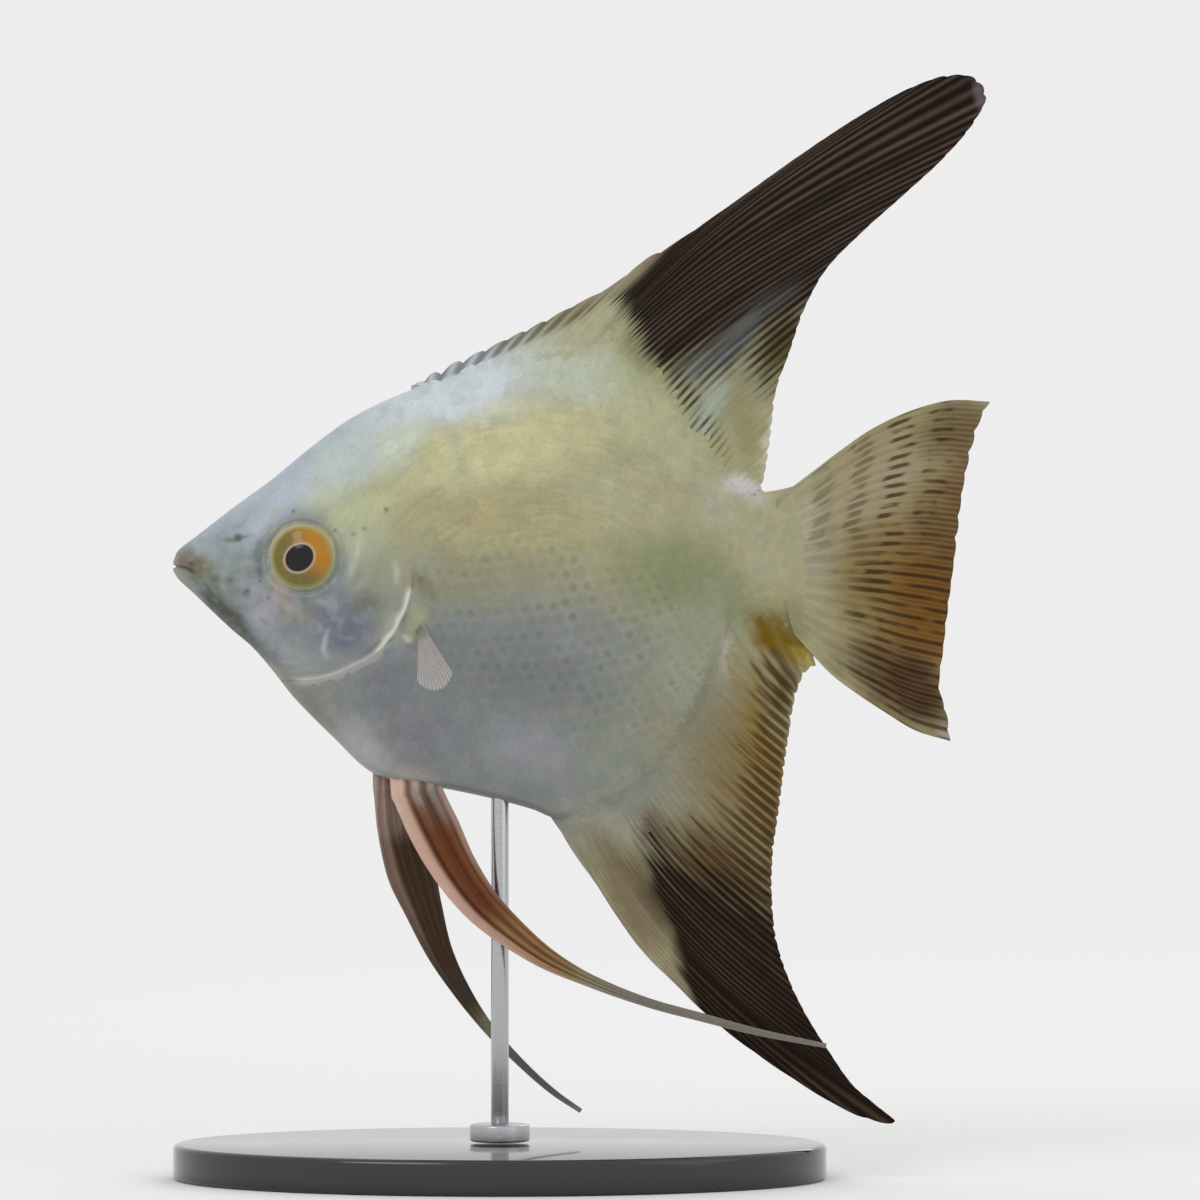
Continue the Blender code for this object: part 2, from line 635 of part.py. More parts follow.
def stand(trunk):
    """A flat oval base, a collar, and a rod that ends in a hole in the belly."""
    rod_x = SNOUT_X + ROD_X
    top = AXIS_Z + float(belly_z(ROD_X)) + ROD_DEPTH
    base = cylinder("stand_base", 0.5, BASE_THICKNESS, 0.0, rod_x, finish=BLACK_ACRYLIC, segments=48)
    for vert in base.data.vertices:
        vert.co.x *= BASE_LENGTH
        vert.co.y *= BASE_WIDTH
    bevel = base.modifiers.new("bevel", "BEVEL")
    bevel.width = BASE_BEVEL * MM
    bevel.limit_method = "ANGLE"
    bevel.angle_limit = math.radians(60.0)
    foot = BASE_THICKNESS + GAP
    collar = cylinder("stand_collar", COLLAR_RADIUS, COLLAR_HEIGHT, foot, rod_x, finish=STEEL, segments=24)
    length, under = 3 * COLLAR_HEIGHT, foot - COLLAR_HEIGHT
    bore = cylinder("collar_bore", ROD_RADIUS + GAP, length, under, rod_x, CUTTERS, segments=24)
    cut_by(collar, as_cutter(bore))
    cylinder("stand_rod", ROD_RADIUS, top - foot, foot, rod_x, finish=STEEL, segments=24)
    depth = 2 * ROD_DEPTH
    hole = cylinder("rod_hole", ROD_RADIUS + GAP, depth, top + GAP - depth, rod_x, CUTTERS, segments=24)
    cut_by(trunk, as_cutter(hole))


def main():
    body = parted_body()
    head_fittings(body["head"])
    dorsal_fin()
    anal_fin()
    tail_fin()
    pelvic_fin("pelvic_fin_left", LEFT_PELVIC, -1)
    pelvic_fin("pelvic_fin_right", RIGHT_PELVIC, 1)
    pectoral_fin("pectoral_fin_left", -1)
    pectoral_fin("pectoral_fin_right", 1)
    stand(body["trunk"])
    for obj in PARTS.objects:
        if not obj.name.startswith("eye"):
            shade_by_angle(obj)


main()
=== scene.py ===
"""The looks of the angelfish: one skin, its scales, fins and eyes, and the stand, on the frame.

The fish is drawn in its own side view, in millimetres: x runs back from the tip of the snout and z
up from the body's axis. Layout turns that drawing into the frame's metres. The left side faces -Y.
"""

import logging
import math
from dataclasses import dataclass, field
from enum import Enum
from typing import Callable, ClassVar, Union

import bpy
import numpy as np
from mathutils import Matrix, Vector


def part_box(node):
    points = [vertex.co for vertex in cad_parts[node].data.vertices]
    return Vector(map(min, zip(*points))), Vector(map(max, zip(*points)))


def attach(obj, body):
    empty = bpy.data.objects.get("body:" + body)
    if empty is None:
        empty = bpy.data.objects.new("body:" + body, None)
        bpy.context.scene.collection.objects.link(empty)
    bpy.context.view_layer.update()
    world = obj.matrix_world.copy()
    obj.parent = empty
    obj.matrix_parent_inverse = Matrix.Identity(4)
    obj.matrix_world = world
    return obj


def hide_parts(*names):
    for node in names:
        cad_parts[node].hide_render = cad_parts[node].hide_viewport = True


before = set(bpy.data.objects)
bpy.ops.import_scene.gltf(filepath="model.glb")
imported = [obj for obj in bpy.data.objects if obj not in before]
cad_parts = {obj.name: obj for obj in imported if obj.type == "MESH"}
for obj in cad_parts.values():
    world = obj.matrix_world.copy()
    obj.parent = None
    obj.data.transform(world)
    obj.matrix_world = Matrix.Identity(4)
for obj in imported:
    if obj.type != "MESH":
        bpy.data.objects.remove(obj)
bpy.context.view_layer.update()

LOG = logging.getLogger("angelfish")
MM = 0.001
BODY = "root"
BAKE_MAP = "OFBake"

Array = np.ndarray
Object = bpy.types.Object
Material = bpy.types.Material
Points = tuple[tuple[float, float], ...]


class Side(Enum):
    """A side of the fish, with the sign of its y."""

    LEFT = -1
    RIGHT = 1

    @property
    def word(self) -> str:
        """The side's name as the pieces carry it."""
        return self.name.lower()


# ---- curves


def smoothstep(value: Array, start: float, end: float) -> Array:
    """Goes from 0 at start to 1 at end with level ends.

    Args:
        value: Where the step is read.
        start: Value at which the step begins.
        end: Value at which it is done. It may be the smaller one.

    Returns:
        The share, from 0 to 1.
    """
    share = np.clip((value - start) / (end - start), 0.0, 1.0)
    return share * share * (3 - 2 * share)


def bell(value: Array, width: float) -> Array:
    """1 where value is 0, falling off to both sides over a width."""
    return np.exp(-((value / width) ** 2))


def run_lengths(points: Array) -> Array:
    """How far along a line of points each of them lies."""
    return np.concatenate([[0.0], np.cumsum(np.hypot(*np.diff(points, axis=0).T))])


class Curve:
    """A smooth function through values at rising parameters. A limited one never overshoots."""

    def __init__(self, ts: Array, values: Array, limited: bool = True) -> None:
        """Works out the slope at each value.

        Args:
            ts: Rising parameters.
            values: The value at each parameter.
            limited: Whether the curve stays between neighbouring values.
        """
        self.ts, self.values = np.asarray(ts, float), np.asarray(values, float)
        rise = np.diff(self.values) / np.diff(self.ts)
        before, after = rise[:-1], rise[1:]
        inner = (before + after) / 2
        if limited:
            total = before + after
            turning = (before * after <= 0) | (total == 0)
            inner = np.where(turning, 0.0, 2 * before * after / np.where(turning, 1.0, total))
        self.slopes = np.concatenate([rise[:1], inner, rise[-1:]])

    @classmethod
    def through(cls, points: Points) -> "Curve":
        """A limited curve through (parameter, value) points."""
        return cls(*np.array(points, float).T)

    def __call__(self, t: Array) -> Array:
        """The curve's value at each t."""
        t = np.clip(t, self.ts[0], self.ts[-1])
        i = np.clip(np.searchsorted(self.ts, t, side="right") - 1, 0, len(self.ts) - 2)
        span = self.ts[i + 1] - self.ts[i]
        f = (t - self.ts[i]) / span
        return (
            self.values[i] * (1 + 2 * f) * (1 - f) ** 2
            + self.values[i + 1] * f * f * (3 - 2 * f)
            + self.slopes[i] * span * f * (1 - f) ** 2
            - self.slopes[i + 1] * span * f * f * (1 - f)
        )


class Path:
    """A smooth path through points of the side view, read by the share of its length."""

    STEPS = 30  # drawn points for each given one

    def __init__(self, points: Points) -> None:
        """Draws the path finely.

        Args:
            points: The (x, z) points that it goes through.
        """
        given = np.array(points, float)
        chords = run_lengths(given)
        fine = np.linspace(0.0, chords[-1], self.STEPS * len(given))
        axes = [Curve(chords, given[:, k], limited=False)(fine) for k in (0, 1)]
        self.drawn = np.column_stack(axes)
        self.lengths = run_lengths(self.drawn)

    def at(self, share: Array) -> Array:
        """The (x, z) points at shares of the length, along a last axis of two."""
        where = np.asarray(share, float) * self.lengths[-1]
        axes = [np.interp(where, self.lengths, self.drawn[:, k]) for k in (0, 1)]
        return np.stack(axes, axis=-1)

    def beside(self, x: Array, z: Array, reach: float) -> tuple[Array, Array]:
        """How far points lie from the path.

        Args:
            x: How far back each point is.
            z: How high it is.
            reach: Points further off than this aren't measured.

        Returns:
            The distance, positive on the left of the way along, and the share of the length of the
            nearest point. A point out of reach has a distance of twice the reach.
        """
        low, high = self.drawn.min(0) - reach, self.drawn.max(0) + reach
        near = (x > low[0]) & (x < high[0]) & (z > low[1]) & (z < high[1])
        offset, share = np.full(x.shape, 2.0 * reach), np.zeros(x.shape)
        if near.any():
            spot = np.stack([x[near], z[near]], axis=-1)
            gap = spot[:, None, :] - self.drawn[None, :, :]
            nearest = np.argmin((gap**2).sum(-1), axis=1)
            run = np.gradient(self.drawn, axis=0)[nearest]
            gap = gap[np.arange(len(spot)), nearest]
            left = run[:, 0] * gap[:, 1] - run[:, 1] * gap[:, 0]
            offset[near] = np.hypot(*gap.T) * np.where(left >= 0, 1.0, -1.0)
            share[near] = self.lengths[nearest] / self.lengths[-1]
        return offset, share


# ---- where the drawing lies


@dataclass(frozen=True)
class Layout:
    """Where the fish's side view lies in the frame. The left eye is the fixed point."""

    eye_x: float = 18.4
    eye_z: float = 0.4

    @property
    def origin(self) -> Vector:
        """The drawing's origin in the frame, in millimetres."""
        low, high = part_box("eye_left")
        middle = (low + high) / 2 / MM
        return Vector((middle.x - self.eye_x, 0.0, middle.z - self.eye_z))

    def place(self, x: Array, y: Array, z: Array) -> Array:
        """Points of the drawing in the frame's metres, along a last axis of three."""
        spots = np.stack(np.broadcast_arrays(x, y, z), axis=-1).astype(float)
        return (spots + np.array(self.origin)) * MM


LAYOUT = Layout()


# ---- shader graphs


def linear(code: str) -> tuple[float, float, float, float]:
    """A paint colour such as "A0A37A" as a linear shader colour."""
    shares = [int(code[k : k + 2], 16) / 255 for k in (0, 2, 4)]
    return (*(s / 12.92 if s <= 0.04045 else ((s + 0.055) / 1.055) ** 2.4 for s in shares), 1.0)


class Shade:
    """A value in a shader graph. Arithmetic on it adds Math nodes."""

    def __init__(self, graph: "Graph", socket: bpy.types.NodeSocket) -> None:
        """Wraps an output socket of a graph."""
        self.graph, self.socket = graph, socket

    def __add__(self, other: "Number") -> "Shade":
        """self + other."""
        return self.graph.math("ADD", self, other)

    def __sub__(self, other: "Number") -> "Shade":
        """self - other."""
        return self.graph.math("SUBTRACT", self, other)

    def __rsub__(self, other: "Number") -> "Shade":
        """other - self."""
        return self.graph.math("SUBTRACT", other, self)

    def __mul__(self, other: "Number") -> "Shade":
        """self * other."""
        return self.graph.math("MULTIPLY", self, other)

    def __truediv__(self, other: "Number") -> "Shade":
        """self / other."""
        return self.graph.math("DIVIDE", self, other)

    def __abs__(self) -> "Shade":
        """The value without its sign."""
        return self.graph.math("ABSOLUTE", self)

    __radd__, __rmul__ = __add__, __mul__


Number = Union[Shade, float]


@dataclass(frozen=True)
class Spray:
    """A soft oval in the side view, of a paint or as a bare mask.

    x, z, along and across are its centre and half sizes in millimetres, turn its slope in degrees,
    and soft the share of its radius over which it fades.
    """

    SPARE: ClassVar[float] = 0.05  # of its size, by which it may miss a box and still count

    x: float
    z: float
    along: float
    across: float
    turn: float
    paint: str = ""
    strength: float = 1.0
    soft: float = 0.9

    def touches(self, low: Vector, high: Vector) -> bool:
        """Whether the oval reaches into the box, given in metres of the frame."""
        lean = math.radians(self.turn)
        wide = math.hypot(self.along * math.cos(lean), self.across * math.sin(lean))
        tall = math.hypot(self.along * math.sin(lean), self.across * math.cos(lean))
        x, _, z = LAYOUT.place(self.x, 0.0, self.z) / MM
        margin = self.SPARE * max(self.along, self.across)
        return bool(
            low.x / MM - margin < x + wide
            and high.x / MM + margin > x - wide
            and low.z / MM - margin < z + tall
            and high.z / MM + margin > z - tall
        )


class Graph:
    """A material's nodes, built through a few plain calls."""

    WARP = 2.2  # how far, in millimetres, the edges of sprays wander
    WARP_SCALE = 160.0  # how many times in a metre they do
    ARC_GAP = 0.75  # millimetres from one streak round a point to the next
    ARC_TURNS = 5.0  # the higher, the shorter the streaks
    THROUGH = 1000.0  # the depth of a spray, which reaches through the whole fish

    def __init__(self, name: str) -> None:
        """Starts a material with a Principled shader."""
        self.material = bpy.data.materials.new(name)
        self.material.use_nodes = True
        self.tree = self.material.node_tree
        self.shader = self.tree.nodes["Principled BSDF"]
        self.coordinates = self.node("TexCoord").outputs["Object"]

    def node(
        self, kind: str, settings: dict | None = None, inputs: dict | None = None
    ) -> bpy.types.Node:
        """Adds a node.

        Args:
            kind: The node's type, without ShaderNode before it.
            settings: Properties such as an operation, set before the inputs.
            inputs: Values or links by the socket's name or number.

        Returns:
            The new node.
        """
        made = self.tree.nodes.new("ShaderNode" + kind)
        for key, value in (settings or {}).items():
            setattr(made, key, value)
        for key, value in (inputs or {}).items():
            self.feed(made.inputs[key], value)
        return made

    def feed(self, socket: bpy.types.NodeSocket, value: object) -> None:
        """Links a wrapped or bare output to a socket, or sets the socket's own value."""
        if isinstance(value, Shade):
            value = value.socket
        if isinstance(value, bpy.types.NodeSocket):
            self.tree.links.new(value, socket)
        else:
            socket.default_value = value

    def math(self, operation: str, *values: Number) -> Shade:
        """A Math node on one or more values."""
        made = self.node("Math", {"operation": operation}, dict(enumerate(values)))
        return Shade(self, made.outputs[0])

    def vector(self, operation: str, *values: object) -> Shade:
        """A Vector Math node. LENGTH and DOT_PRODUCT give a number, the others a vector."""
        made = self.node("VectorMath", {"operation": operation}, dict(enumerate(values)))
        number = operation in ("LENGTH", "DOT_PRODUCT")
        return Shade(self, made.outputs["Value" if number else "Vector"])

    def joined(self, x: Number, y: Number, z: Number = 0.0) -> Shade:
        """A vector of three numbers."""
        return Shade(self, self.node("CombineXYZ", None, {0: x, 1: y, 2: z}).outputs[0])

    def parted(self, vector: object) -> tuple[Shade, Shade, Shade]:
        """A vector's three numbers."""
        made = self.node("SeparateXYZ", None, {0: vector})
        return tuple(Shade(self, output) for output in made.outputs)

    def step(self, value: Number, start: float, end: float) -> Shade:
        """A smooth step from 0 at start to 1 at end."""
        made = self.node(
            "MapRange",
            {"interpolation_type": "SMOOTHSTEP"},
            {"Value": value, "From Min": start, "From Max": end},
        )
        return Shade(self, made.outputs["Result"])

    def mix(self, share: Number, first: object, second: object, blend: str = "MIX") -> Shade:
        """Mixes two colours."""
        settings = {"data_type": "RGBA", "blend_type": blend}
        made = self.node("Mix", settings, {0: share, 6: first, 7: second})
        return Shade(self, made.outputs[2])

    def over(self, base: object, paint: str, share: Number) -> Shade:
        """A base colour with a share of a paint over it."""
        return self.mix(share, base, linear(paint))

    def grey(self, value: Number) -> Shade:
        """The grey of a value."""
        made = self.node("CombineColor", None, {0: value, 1: value, 2: value})
        return Shade(self, made.outputs[0])

    def shaded(self, base: object, factor: Number) -> Shade:
        """A base colour, lighter or darker by a factor."""
        return self.mix(1.0, base, self.grey(factor), "MULTIPLY")

    def noise(
        self, size: float, detail: float = 2.0, where: object = None, stretch: tuple = (1, 1, 1)
    ) -> Shade:
        """Noise from 0 to 1.

        Args:
            size: The size of its grains in millimetres, or in map units on a map.
            detail: How many finer layers it has.
            where: A vector to read it at, or the object's own place.
            stretch: How much longer the grains are along each axis.

        Returns:
            The noise as a value.
        """
        where = self.coordinates if where is None else where
        unit = MM if where is self.coordinates else 1.0
        scales = tuple(1.0 / (size * unit * s) for s in stretch)
        mapped = self.node("Mapping", None, {"Vector": where, "Scale": scales})
        settings = {"Vector": mapped.outputs[0], "Scale": 1.0, "Detail": detail}
        return Shade(self, self.node("TexNoise", None, settings).outputs[0])

    def uv(self, name: str) -> Shade:
        """The place on a UV map, as a vector."""
        return Shade(self, self.node("UVMap", {"uv_map": name}).outputs[0])

    def attribute(self, name: str) -> Shade:
        """A number that the mesh carries at its points."""
        made = self.node("Attribute", {"attribute_name": name})
        return Shade(self, made.outputs["Fac"])

    def wander(self) -> Shade:
        """The object's own place, moved about a little so that no paint there has a drawn edge."""
        settings = {"Vector": self.coordinates, "Scale": self.WARP_SCALE, "Detail": 3.0}
        grain = self.node("TexNoise", None, settings)
        centred = self.vector("SUBTRACT", grain.outputs["Color"], (0.5, 0.5, 0.5))
        moved = self.vector("MULTIPLY", centred, (2 * self.WARP * MM,) * 3)
        return self.vector("ADD", self.coordinates, moved)

    def arcs(self, x: float, z: float) -> Shade:
        """Fine streaks that run round a middle point, from 0 to 1."""
        offset = self.vector("SUBTRACT", self.coordinates, tuple(LAYOUT.place(x, 0.0, z)))
        back, _, up = self.parted(offset)
        angle = self.math("ARCTAN2", back, up)
        radius = self.vector("LENGTH", self.joined(back, up)) / (self.ARC_GAP * MM)
        return self.noise(1.0, 2.0, self.joined(radius, angle * self.ARC_TURNS))

    def oval(self, spray: Spray, where: object = None) -> Shade:
        """A mask that is 1 in the middle of a spray and 0 outside it."""
        settings = {
            "Vector": self.coordinates if where is None else where,
            "Location": tuple(LAYOUT.place(spray.x, 0.0, spray.z)),
            "Rotation": (0.0, math.radians(-spray.turn), 0.0),
            "Scale": (spray.along * MM, self.THROUGH, spray.across * MM),
        }
        mapped = self.node("Mapping", {"vector_type": "TEXTURE"}, settings)
        return self.step(self.vector("LENGTH", mapped.outputs[0]), 1.0, 1.0 - spray.soft)

    def sprayed(self, base: object, sprays: tuple[Spray, ...], where: object) -> object:
        """A base colour with sprays over it, one after another."""
        for spray in sprays:
            mask = self.oval(spray, where)
            mask = mask * spray.strength if spray.strength < 1 else mask
            base = self.over(base, spray.paint, mask)
        return base

    def bump(self, height: Number, distance: float, strength: float) -> object:
        """A normal from a height of 0 to 1 that stands for a distance in millimetres."""
        settings = {"Height": height, "Distance": distance * MM, "Strength": strength}
        return self.node("Bump", None, settings).outputs[0]

    def finish(self, **values: object) -> Material:
        """Feeds the shader's sockets, given by their names with _ for a space."""
        for key, value in values.items():
            self.feed(self.shader.inputs[key.replace("_", " ")], value)
        return self.material


# ---- mesh tools


def deselect() -> None:
    """Leaves nothing selected."""
    bpy.ops.object.select_all(action="DESELECT")


def activate(obj: Object) -> None:
    """Selects one object alone and makes it active."""
    deselect()
    obj.select_set(True)
    bpy.context.view_layer.objects.active = obj


def join(first: Object, other: Object) -> Object:
    """Joins another mesh into the first."""
    activate(first)
    other.select_set(True)
    bpy.ops.object.join()
    return first


def named(name: str) -> Object:
    """The active object, with its name and its mesh's name set."""
    obj = bpy.context.object
    obj.name, obj.data.name = name, name
    return obj


def points_of(obj: Object) -> Array:
    """A mesh's vertices as rows of three."""
    flat = np.empty(len(obj.data.vertices) * 3)
    obj.data.vertices.foreach_get("co", flat)
    return flat.reshape(-1, 3)


def move_points(obj: Object, spots: Array) -> None:
    """Puts a mesh's vertices at rows of three."""
    obj.data.vertices.foreach_set("co", np.ascontiguousarray(spots, float).ravel())
    obj.data.update()


def edit(
    obj: Object, *steps: Callable[[], object],
    chosen: Callable[[bpy.types.MeshPolygon], bool] | None = None,
) -> None:
    """Runs edit-mode operators on a mesh.

    Args:
        obj: The mesh.
        *steps: The calls, one after another.
        chosen: Which faces they work on. Without it they work on all.
    """
    activate(obj)
    bpy.ops.object.mode_set(mode="EDIT")
    if chosen is None:
        bpy.ops.mesh.select_all(action="SELECT")
    else:
        bpy.ops.mesh.select_mode(type="FACE")
        bpy.ops.mesh.select_all(action="DESELECT")
        bpy.ops.object.mode_set(mode="OBJECT")
        for face in obj.data.polygons:
            face.select = chosen(face)
        bpy.ops.object.mode_set(mode="EDIT")
    for step in steps:
        step()
    bpy.ops.object.mode_set(mode="OBJECT")


def outwards() -> None:
    """Turns the selected faces outwards."""
    bpy.ops.mesh.normals_make_consistent(inside=False)


def modified(obj: Object, kind: str, **settings: object) -> Object:
    """Adds a modifier with its settings and applies it."""
    modifier = obj.modifiers.new(kind.lower(), kind)
    for key, value in settings.items():
        setattr(modifier, key, value)
    activate(obj)
    bpy.ops.object.modifier_apply(modifier=modifier.name)
    return obj


def sheet(name: str, columns: int, rows: int, map_name: str) -> tuple[Object, Array, Array]:
    """A flat grid to be shaped.

    Args:
        name: The object's name.
        columns: Faces across.
        rows: Faces up.
        map_name: The name of its UV map, which has the place on the sheet.

    Returns:
        The object, and for each vertex its share of the way across and up.
    """
    deselect()
    bpy.ops.mesh.primitive_grid_add(x_subdivisions=columns, y_subdivisions=rows, size=1.0)
    obj = named(name)
    obj.data.uv_layers[0].name = map_name
    spots = points_of(obj) + 0.5
    return obj, spots[:, 0], spots[:, 1]


def fill_map(obj: Object, name: str, places: Array) -> None:
    """Gives each vertex a place on a UV map, which is added if the mesh doesn't have it."""
    layer = obj.data.uv_layers.get(name) or obj.data.uv_layers.new(name=name)
    corners = np.empty(len(obj.data.loops), np.int32)
    obj.data.loops.foreach_get("vertex_index", corners)
    layer.data.foreach_set("uv", places[corners].astype(np.float32).ravel())


def store(obj: Object, name: str, values: Array) -> None:
    """Keeps a number at each point of a mesh."""
    layer = obj.data.attributes.new(name, "FLOAT", "POINT")
    layer.data.foreach_set("value", np.asarray(values, np.float32))


def dress(
    obj: Object, material: Material, nodes: tuple[str, ...],
    angle: float = 180.0,
) -> Object:
    """Finishes a piece and ties it to the frame.

    Args:
        obj: The piece, at the origin.
        material: Its finish.
        nodes: The CAD nodes that it stands for.
        angle: Edges sharper than this many degrees stay sharp.

    Returns:
        The piece.
    """
    activate(obj)
    if angle < 180.0:
        bpy.ops.object.shade_smooth_by_angle(angle=math.radians(angle))
    else:
        bpy.ops.object.shade_smooth()
    obj.data.materials.clear()
    obj.data.materials.append(material)
    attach(obj, BODY)
    if nodes:
        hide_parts(*nodes)
    what = ", ".join(nodes) or "the coat"
    LOG.info("%s: %d faces, for %s", obj.name, len(obj.data.polygons), what)
    return obj


# ---- the form of the body


@dataclass(frozen=True)
class Fold:
    """A ridge, groove or step of the head, on a path of the side view.

    height is in millimetres, negative for a groove. width is how far it reaches to each side. A
    step stands proud on the right of the path only, and sinks back over its fade. The ends run out
    over a share.
    """

    points: Points
    height: float
    width: float
    fade: float = 0.0
    ends: tuple[float, float] = (0.15, 0.15)

    def relief(self, x: Array, z: Array) -> Array:
        """How far the fold lifts the skin at each point."""
        offset, share = Path(self.points).beside(x, z, max(3 * self.width, 3 * self.fade))
        rise = bell(offset, self.width)
        if self.fade:
            step = smoothstep(offset, self.width, -self.width)
            rise = step * bell(np.minimum(offset, 0.0), self.fade)
        start, end = self.ends
        rise = rise * smoothstep(share, 0.0, start) if start else rise
        rise = rise * smoothstep(share, 1.0, 1.0 - end) if end else rise
        return self.height * rise


@dataclass(frozen=True)
class Pit:
    """A nostril or a pore: a hollow of a radius and depth, with a rim that stands up a little."""

    x: float
    z: float
    radius: float
    depth: float
    rim: float = 0.03

    RIM_AT: ClassVar[float] = 1.6  # in radii
    RIM_WIDTH: ClassVar[float] = 0.5

    def relief(self, x: Array, z: Array) -> Array:
        """How far the pit lifts the skin at each point."""
        far = np.hypot(x - self.x, z - self.z) / self.radius
        return self.rim * bell(far - self.RIM_AT, self.RIM_WIDTH) - self.depth * bell(far, 1.0)


@dataclass(frozen=True)
class EyeForm:
    """The eyeball: a flattened ball, turned forwards as the head narrows."""

    x: float = LAYOUT.eye_x
    z: float = LAYOUT.eye_z
    radius: float = 5.0
    half_depth: float = 3.0
    centre_y: float = 3.9
    turn: float = 7.0
    fullness: float = 2.6  # above 2 the ball has a flatter face
    pupil: float = 2.05

    def dome(self, far: Array) -> Array:
        """The ball's depth in front of its middle plane, far from its axis."""
        share = np.clip(far / self.radius, 0.0, 1.0)
        return self.half_depth * np.sqrt(1.0 - share**self.fullness)

    def height(self, x: Array, z: Array) -> Array:
        """How far from the middle plane of the fish the ball's face is."""
        behind = x - self.x
        lean = behind * math.tan(math.radians(self.turn))
        return self.centre_y + self.dome(np.hypot(behind, z - self.z)) + lean


@dataclass(frozen=True)
class BodyForm:
    """The body without fins: its outline, its lens-shaped sections and the relief of its head."""

    back: Points = (
        (0.0, -0.2), (0.5, 1.1), (1.4, 2.0), (3.0, 3.2), (8.3, 7.3), (13.9, 11.4), (19.6, 16.1),
        (25.2, 20.1), (30.8, 22.9), (36.5, 25.1), (43.2, 27.6), (48.9, 29.4), (54.0, 29.9),
        (61.0, 27.9), (68.6, 22.7), (74.2, 16.6), (79.0, 10.9), (82.5, 9.5), (86.9, 10.2),
        (91.0, 12.2),
    )
    belly: Points = (
        (0.0, -1.5), (0.6, -2.5), (2.7, -4.5), (8.3, -9.8), (11.1, -12.2), (13.9, -15.4),
        (16.8, -19.1), (22.4, -24.8), (28.0, -29.9), (32.0, -31.4), (37.6, -32.1), (44.9, -33.6),
        (50.5, -35.1), (54.5, -36.5), (58.5, -36.1), (63.5, -33.4), (68.5, -28.9), (73.0, -22.9),
        (76.5, -15.4), (79.0, -8.0), (82.5, -7.6), (87.3, -10.8), (91.0, -14.4),
    )
    half_width: Points = (
        (0.0, 0.9), (0.7, 1.5), (2.0, 2.2), (5.0, 3.2), (10.0, 4.4), (15.0, 5.4), (20.0, 6.1),
        (26.0, 6.6), (33.0, 6.9), (40.0, 6.7), (48.0, 6.1), (56.0, 5.2), (64.0, 4.3), (72.0, 3.3),
        (79.0, 2.6), (83.0, 2.05), (86.0, 1.4), (88.5, 0.8), (91.0, 0.5),
    )
    ridge: Points = (
        (0.0, 0.5), (3.0, 0.9), (15.0, 1.1), (30.0, 0.9), (45.0, 0.8), (79.0, 0.8), (91.0, 0.4),
    )
    keel: Points = (
        (0.0, 0.5), (4.0, 0.9), (18.0, 1.2), (30.0, 2.0), (47.0, 1.9), (54.0, 0.9), (79.0, 0.8),
        (91.0, 0.4),
    )
    gill: Points = (
        (28.42, 21.84), (28.6, 17.0), (29.6, 12.0), (31.6, 7.0), (33.4, 2.0), (33.9, -2.0),
        (33.3, -6.0), (31.3, -10.3), (28.7, -13.2), (25.7, -14.9), (22.4, -16.3), (18.9, -16.9),
        (16.4, -16.8), (15.15, -17.0),
    )
    section_power: float = 2.1
    section_round: float = 0.85
    coat: float = 0.14  # how far the skin lies inside the flesh, to leave room for the scales
    rim: float = 1.1  # over this distance from the outline the skin rounds to the middle plane
    root_fade: float = 2.4  # how quickly the fins' roots thin out
    root_sunk: float = 0.06  # how far the fins' roots lie inside the skin
    dorsal_root: tuple[float, float, float, float] = (33.0, 37.0, 82.0, 83.6)
    anal_root: tuple[float, float, float, float] = (53.0, 57.0, 88.8, 90.4)
    gill_edge: tuple[float, float] = (0.22, 4.0)  # lift of the gill cover's edge, and its reach
    gill_sink: tuple[float, float] = (-0.3, 1.3)  # the same for the skin behind it
    lids: tuple[float, float, float] = (3.6, 4.6, 5.5)  # radii of the socket's floor, rim and edge
    socket: float = 0.9  # how deep the skin runs under the eyeball
    slack: float = 0.02  # how far it stands off the ball at the rim
    folds: tuple[Fold, ...] = field(default=(), repr=False)
    pits: tuple[Pit, ...] = field(default=(), repr=False)
    eye: EyeForm = EyeForm()

    def edges(self, x: Array) -> tuple[Array, Array]:
        """The belly's and the back's z at each x."""
        return Curve.through(self.belly)(x), Curve.through(self.back)(x)

    def past_edges(self, x: Array, z: Array) -> tuple[Array, Array]:
        """How far each point lies past the back and past the belly. Inside it is negative."""
        step = 0.05
        found = []
        for points, sign in ((self.back, 1.0), (self.belly, -1.0)):
            line = Curve.through(points)
            slope = (line(x + step) - line(x - step)) / (2 * step)
            found.append(sign * (z - line(x)) / np.sqrt(1 + slope**2))
        return tuple(found)

    def inset(self, x: Array, z: Array) -> Array:
        """How far inside the outline each point is."""
        above, below = self.past_edges(x, z)
        return np.maximum(np.minimum(x, np.minimum(-above, -below)), 0.0)

    def beyond(self, x: Array, z: Array) -> Array:
        """How far outside the outline each point is."""
        return np.maximum(np.maximum(*self.past_edges(x, z)), 0.0)

    def rooted(self, x: Array, z: Array) -> Array:
        """Half the thickness of the dorsal and anal fins' roots, which carry on the body."""
        above, below = (
            smoothstep(x, start, full) * smoothstep(x, end, last)
            for start, full, last, end in (self.dorsal_root, self.anal_root)
        )
        share = np.where(z > 0, above, below) * np.exp(-self.beyond(x, z) / self.root_fade)
        return share * (self.plain(x, z) - self.coat - self.root_sunk)

